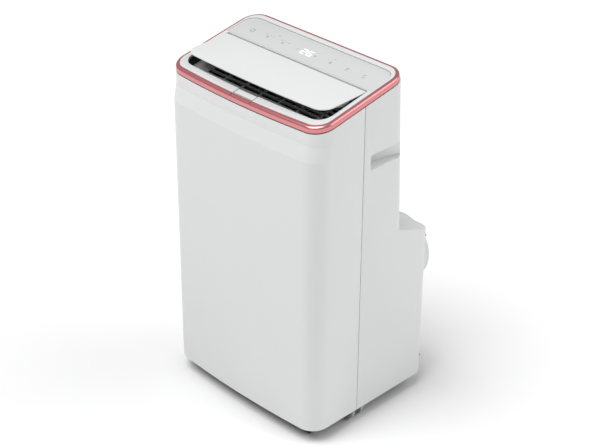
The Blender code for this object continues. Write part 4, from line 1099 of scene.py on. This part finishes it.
# ---- Tray and front feet ----
# The dark moulded tray that carries the machine, screwed up into the casing, and two rubber feet
# pressed into its front corners that stop the machine tipping.
tray_dark = plastic("tray_dark", (0.05, 0.05, 0.05), 0.55, 700.0, 0.00005, 0.15)
dress(tray_dark, "base_pan")
for hand in ("left", "right"):
    finished_copy(f"foot_{hand}", f"front_foot_{hand}", foot_rubber, "casing",
                  0.0007)


# ---- Casters ----
# Twin-wheel casters in grey nylon. The hooded body swivels on its steel stem; the wheels have a
# rounded tread and a dished face, and turn on one axle.
caster_grey = plastic("caster_grey", (0.06, 0.062, 0.065), 0.45, 800.0, 0.00004, 0.1)
wheel_grey = plastic("wheel_grey", (0.34, 0.345, 0.35), 0.42, 800.0, 0.00004, 0.1)
HUB_HALF = 0.0085
AXLE_R = 0.0030
for corner in ("front_left", "front_right", "rear_left", "rear_right"):
    node = f"caster_{corner}_wheels"
    low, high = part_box(node)
    axle = (low + high) / 2
    r, half = (high.z - low.z) / 2, (high.y - low.y) / 2
    wheel_bm = bmesh.new()
    outer = [(0.0, half - 0.0026), (0.0034, half - 0.0024), (0.0040, half - 0.0040),
             (0.0105, half - 0.0040), (0.0120, half - 0.0006), (0.0130, half),
             (r - 0.0030, half), (r - 0.0012, half - 0.0006), (r - 0.0003, half - 0.0020),
             (r, half - 0.0036), (r, HUB_HALF + 0.0014), (r - 0.0008, HUB_HALF),
             (AXLE_R, HUB_HALF)]
    inner = [(radius, -along) for radius, along in reversed(outer)]
    across = Matrix.Rotation(math.radians(90), 4, "X")
    spun(wheel_bm, outer + inner, 48, Matrix.Translation(axle) @ across)
    piece(f"wheels_{corner}", wheel_bm, wheel_grey, node, replaces=[node])
    finished_copy(f"fork_{corner}", f"caster_{corner}", caster_grey, f"caster_{corner}",
                  0.0006)


# ---- Compressor and pipes ----
# The black painted compressor and accumulator on rubber mounts, and the bent copper pipes that
# join them to the coils.
shell_black = metal("shell_black", (0.03, 0.03, 0.033), 0.35, 300.0, 0.00005, 0.3, 0.4)
dress(shell_black, "compressor", "accumulator")
dress(foot_rubber, "compressor_mount_1", "compressor_mount_2", "compressor_mount_3")
dress(pipe_copper, "discharge_pipe", "suction_pipe", "liquid_pipe")


# ---- Blowers, scrolls and motors ----
# Grey moulded scrolls, with the shelf and the electronics' box in the same plastic, black moulded
# drum wheels that turn inside the scrolls, and plated steel cans for the motors.
scroll_grey = plastic("scroll_grey", (0.45, 0.46, 0.46), 0.5, 700.0, 0.00004, 0.08)
wheel_black = plastic("wheel_black", (0.025, 0.025, 0.025), 0.5, 800.0, 0.00003, 0.1)
motor_steel = metal("motor_steel", (0.55, 0.56, 0.58), 0.32, 400.0, 0.00002, 0.25)
dress(scroll_grey, "condenser_scroll", "evaporator_scroll", "partition_tray", "control_box")
dress(wheel_black, "condenser_blower", "evaporator_blower", "splash_wheel")
dress(motor_steel, "condenser_motor", "evaporator_motor", "splash_motor", "flap_motor",
      "vane_motor")
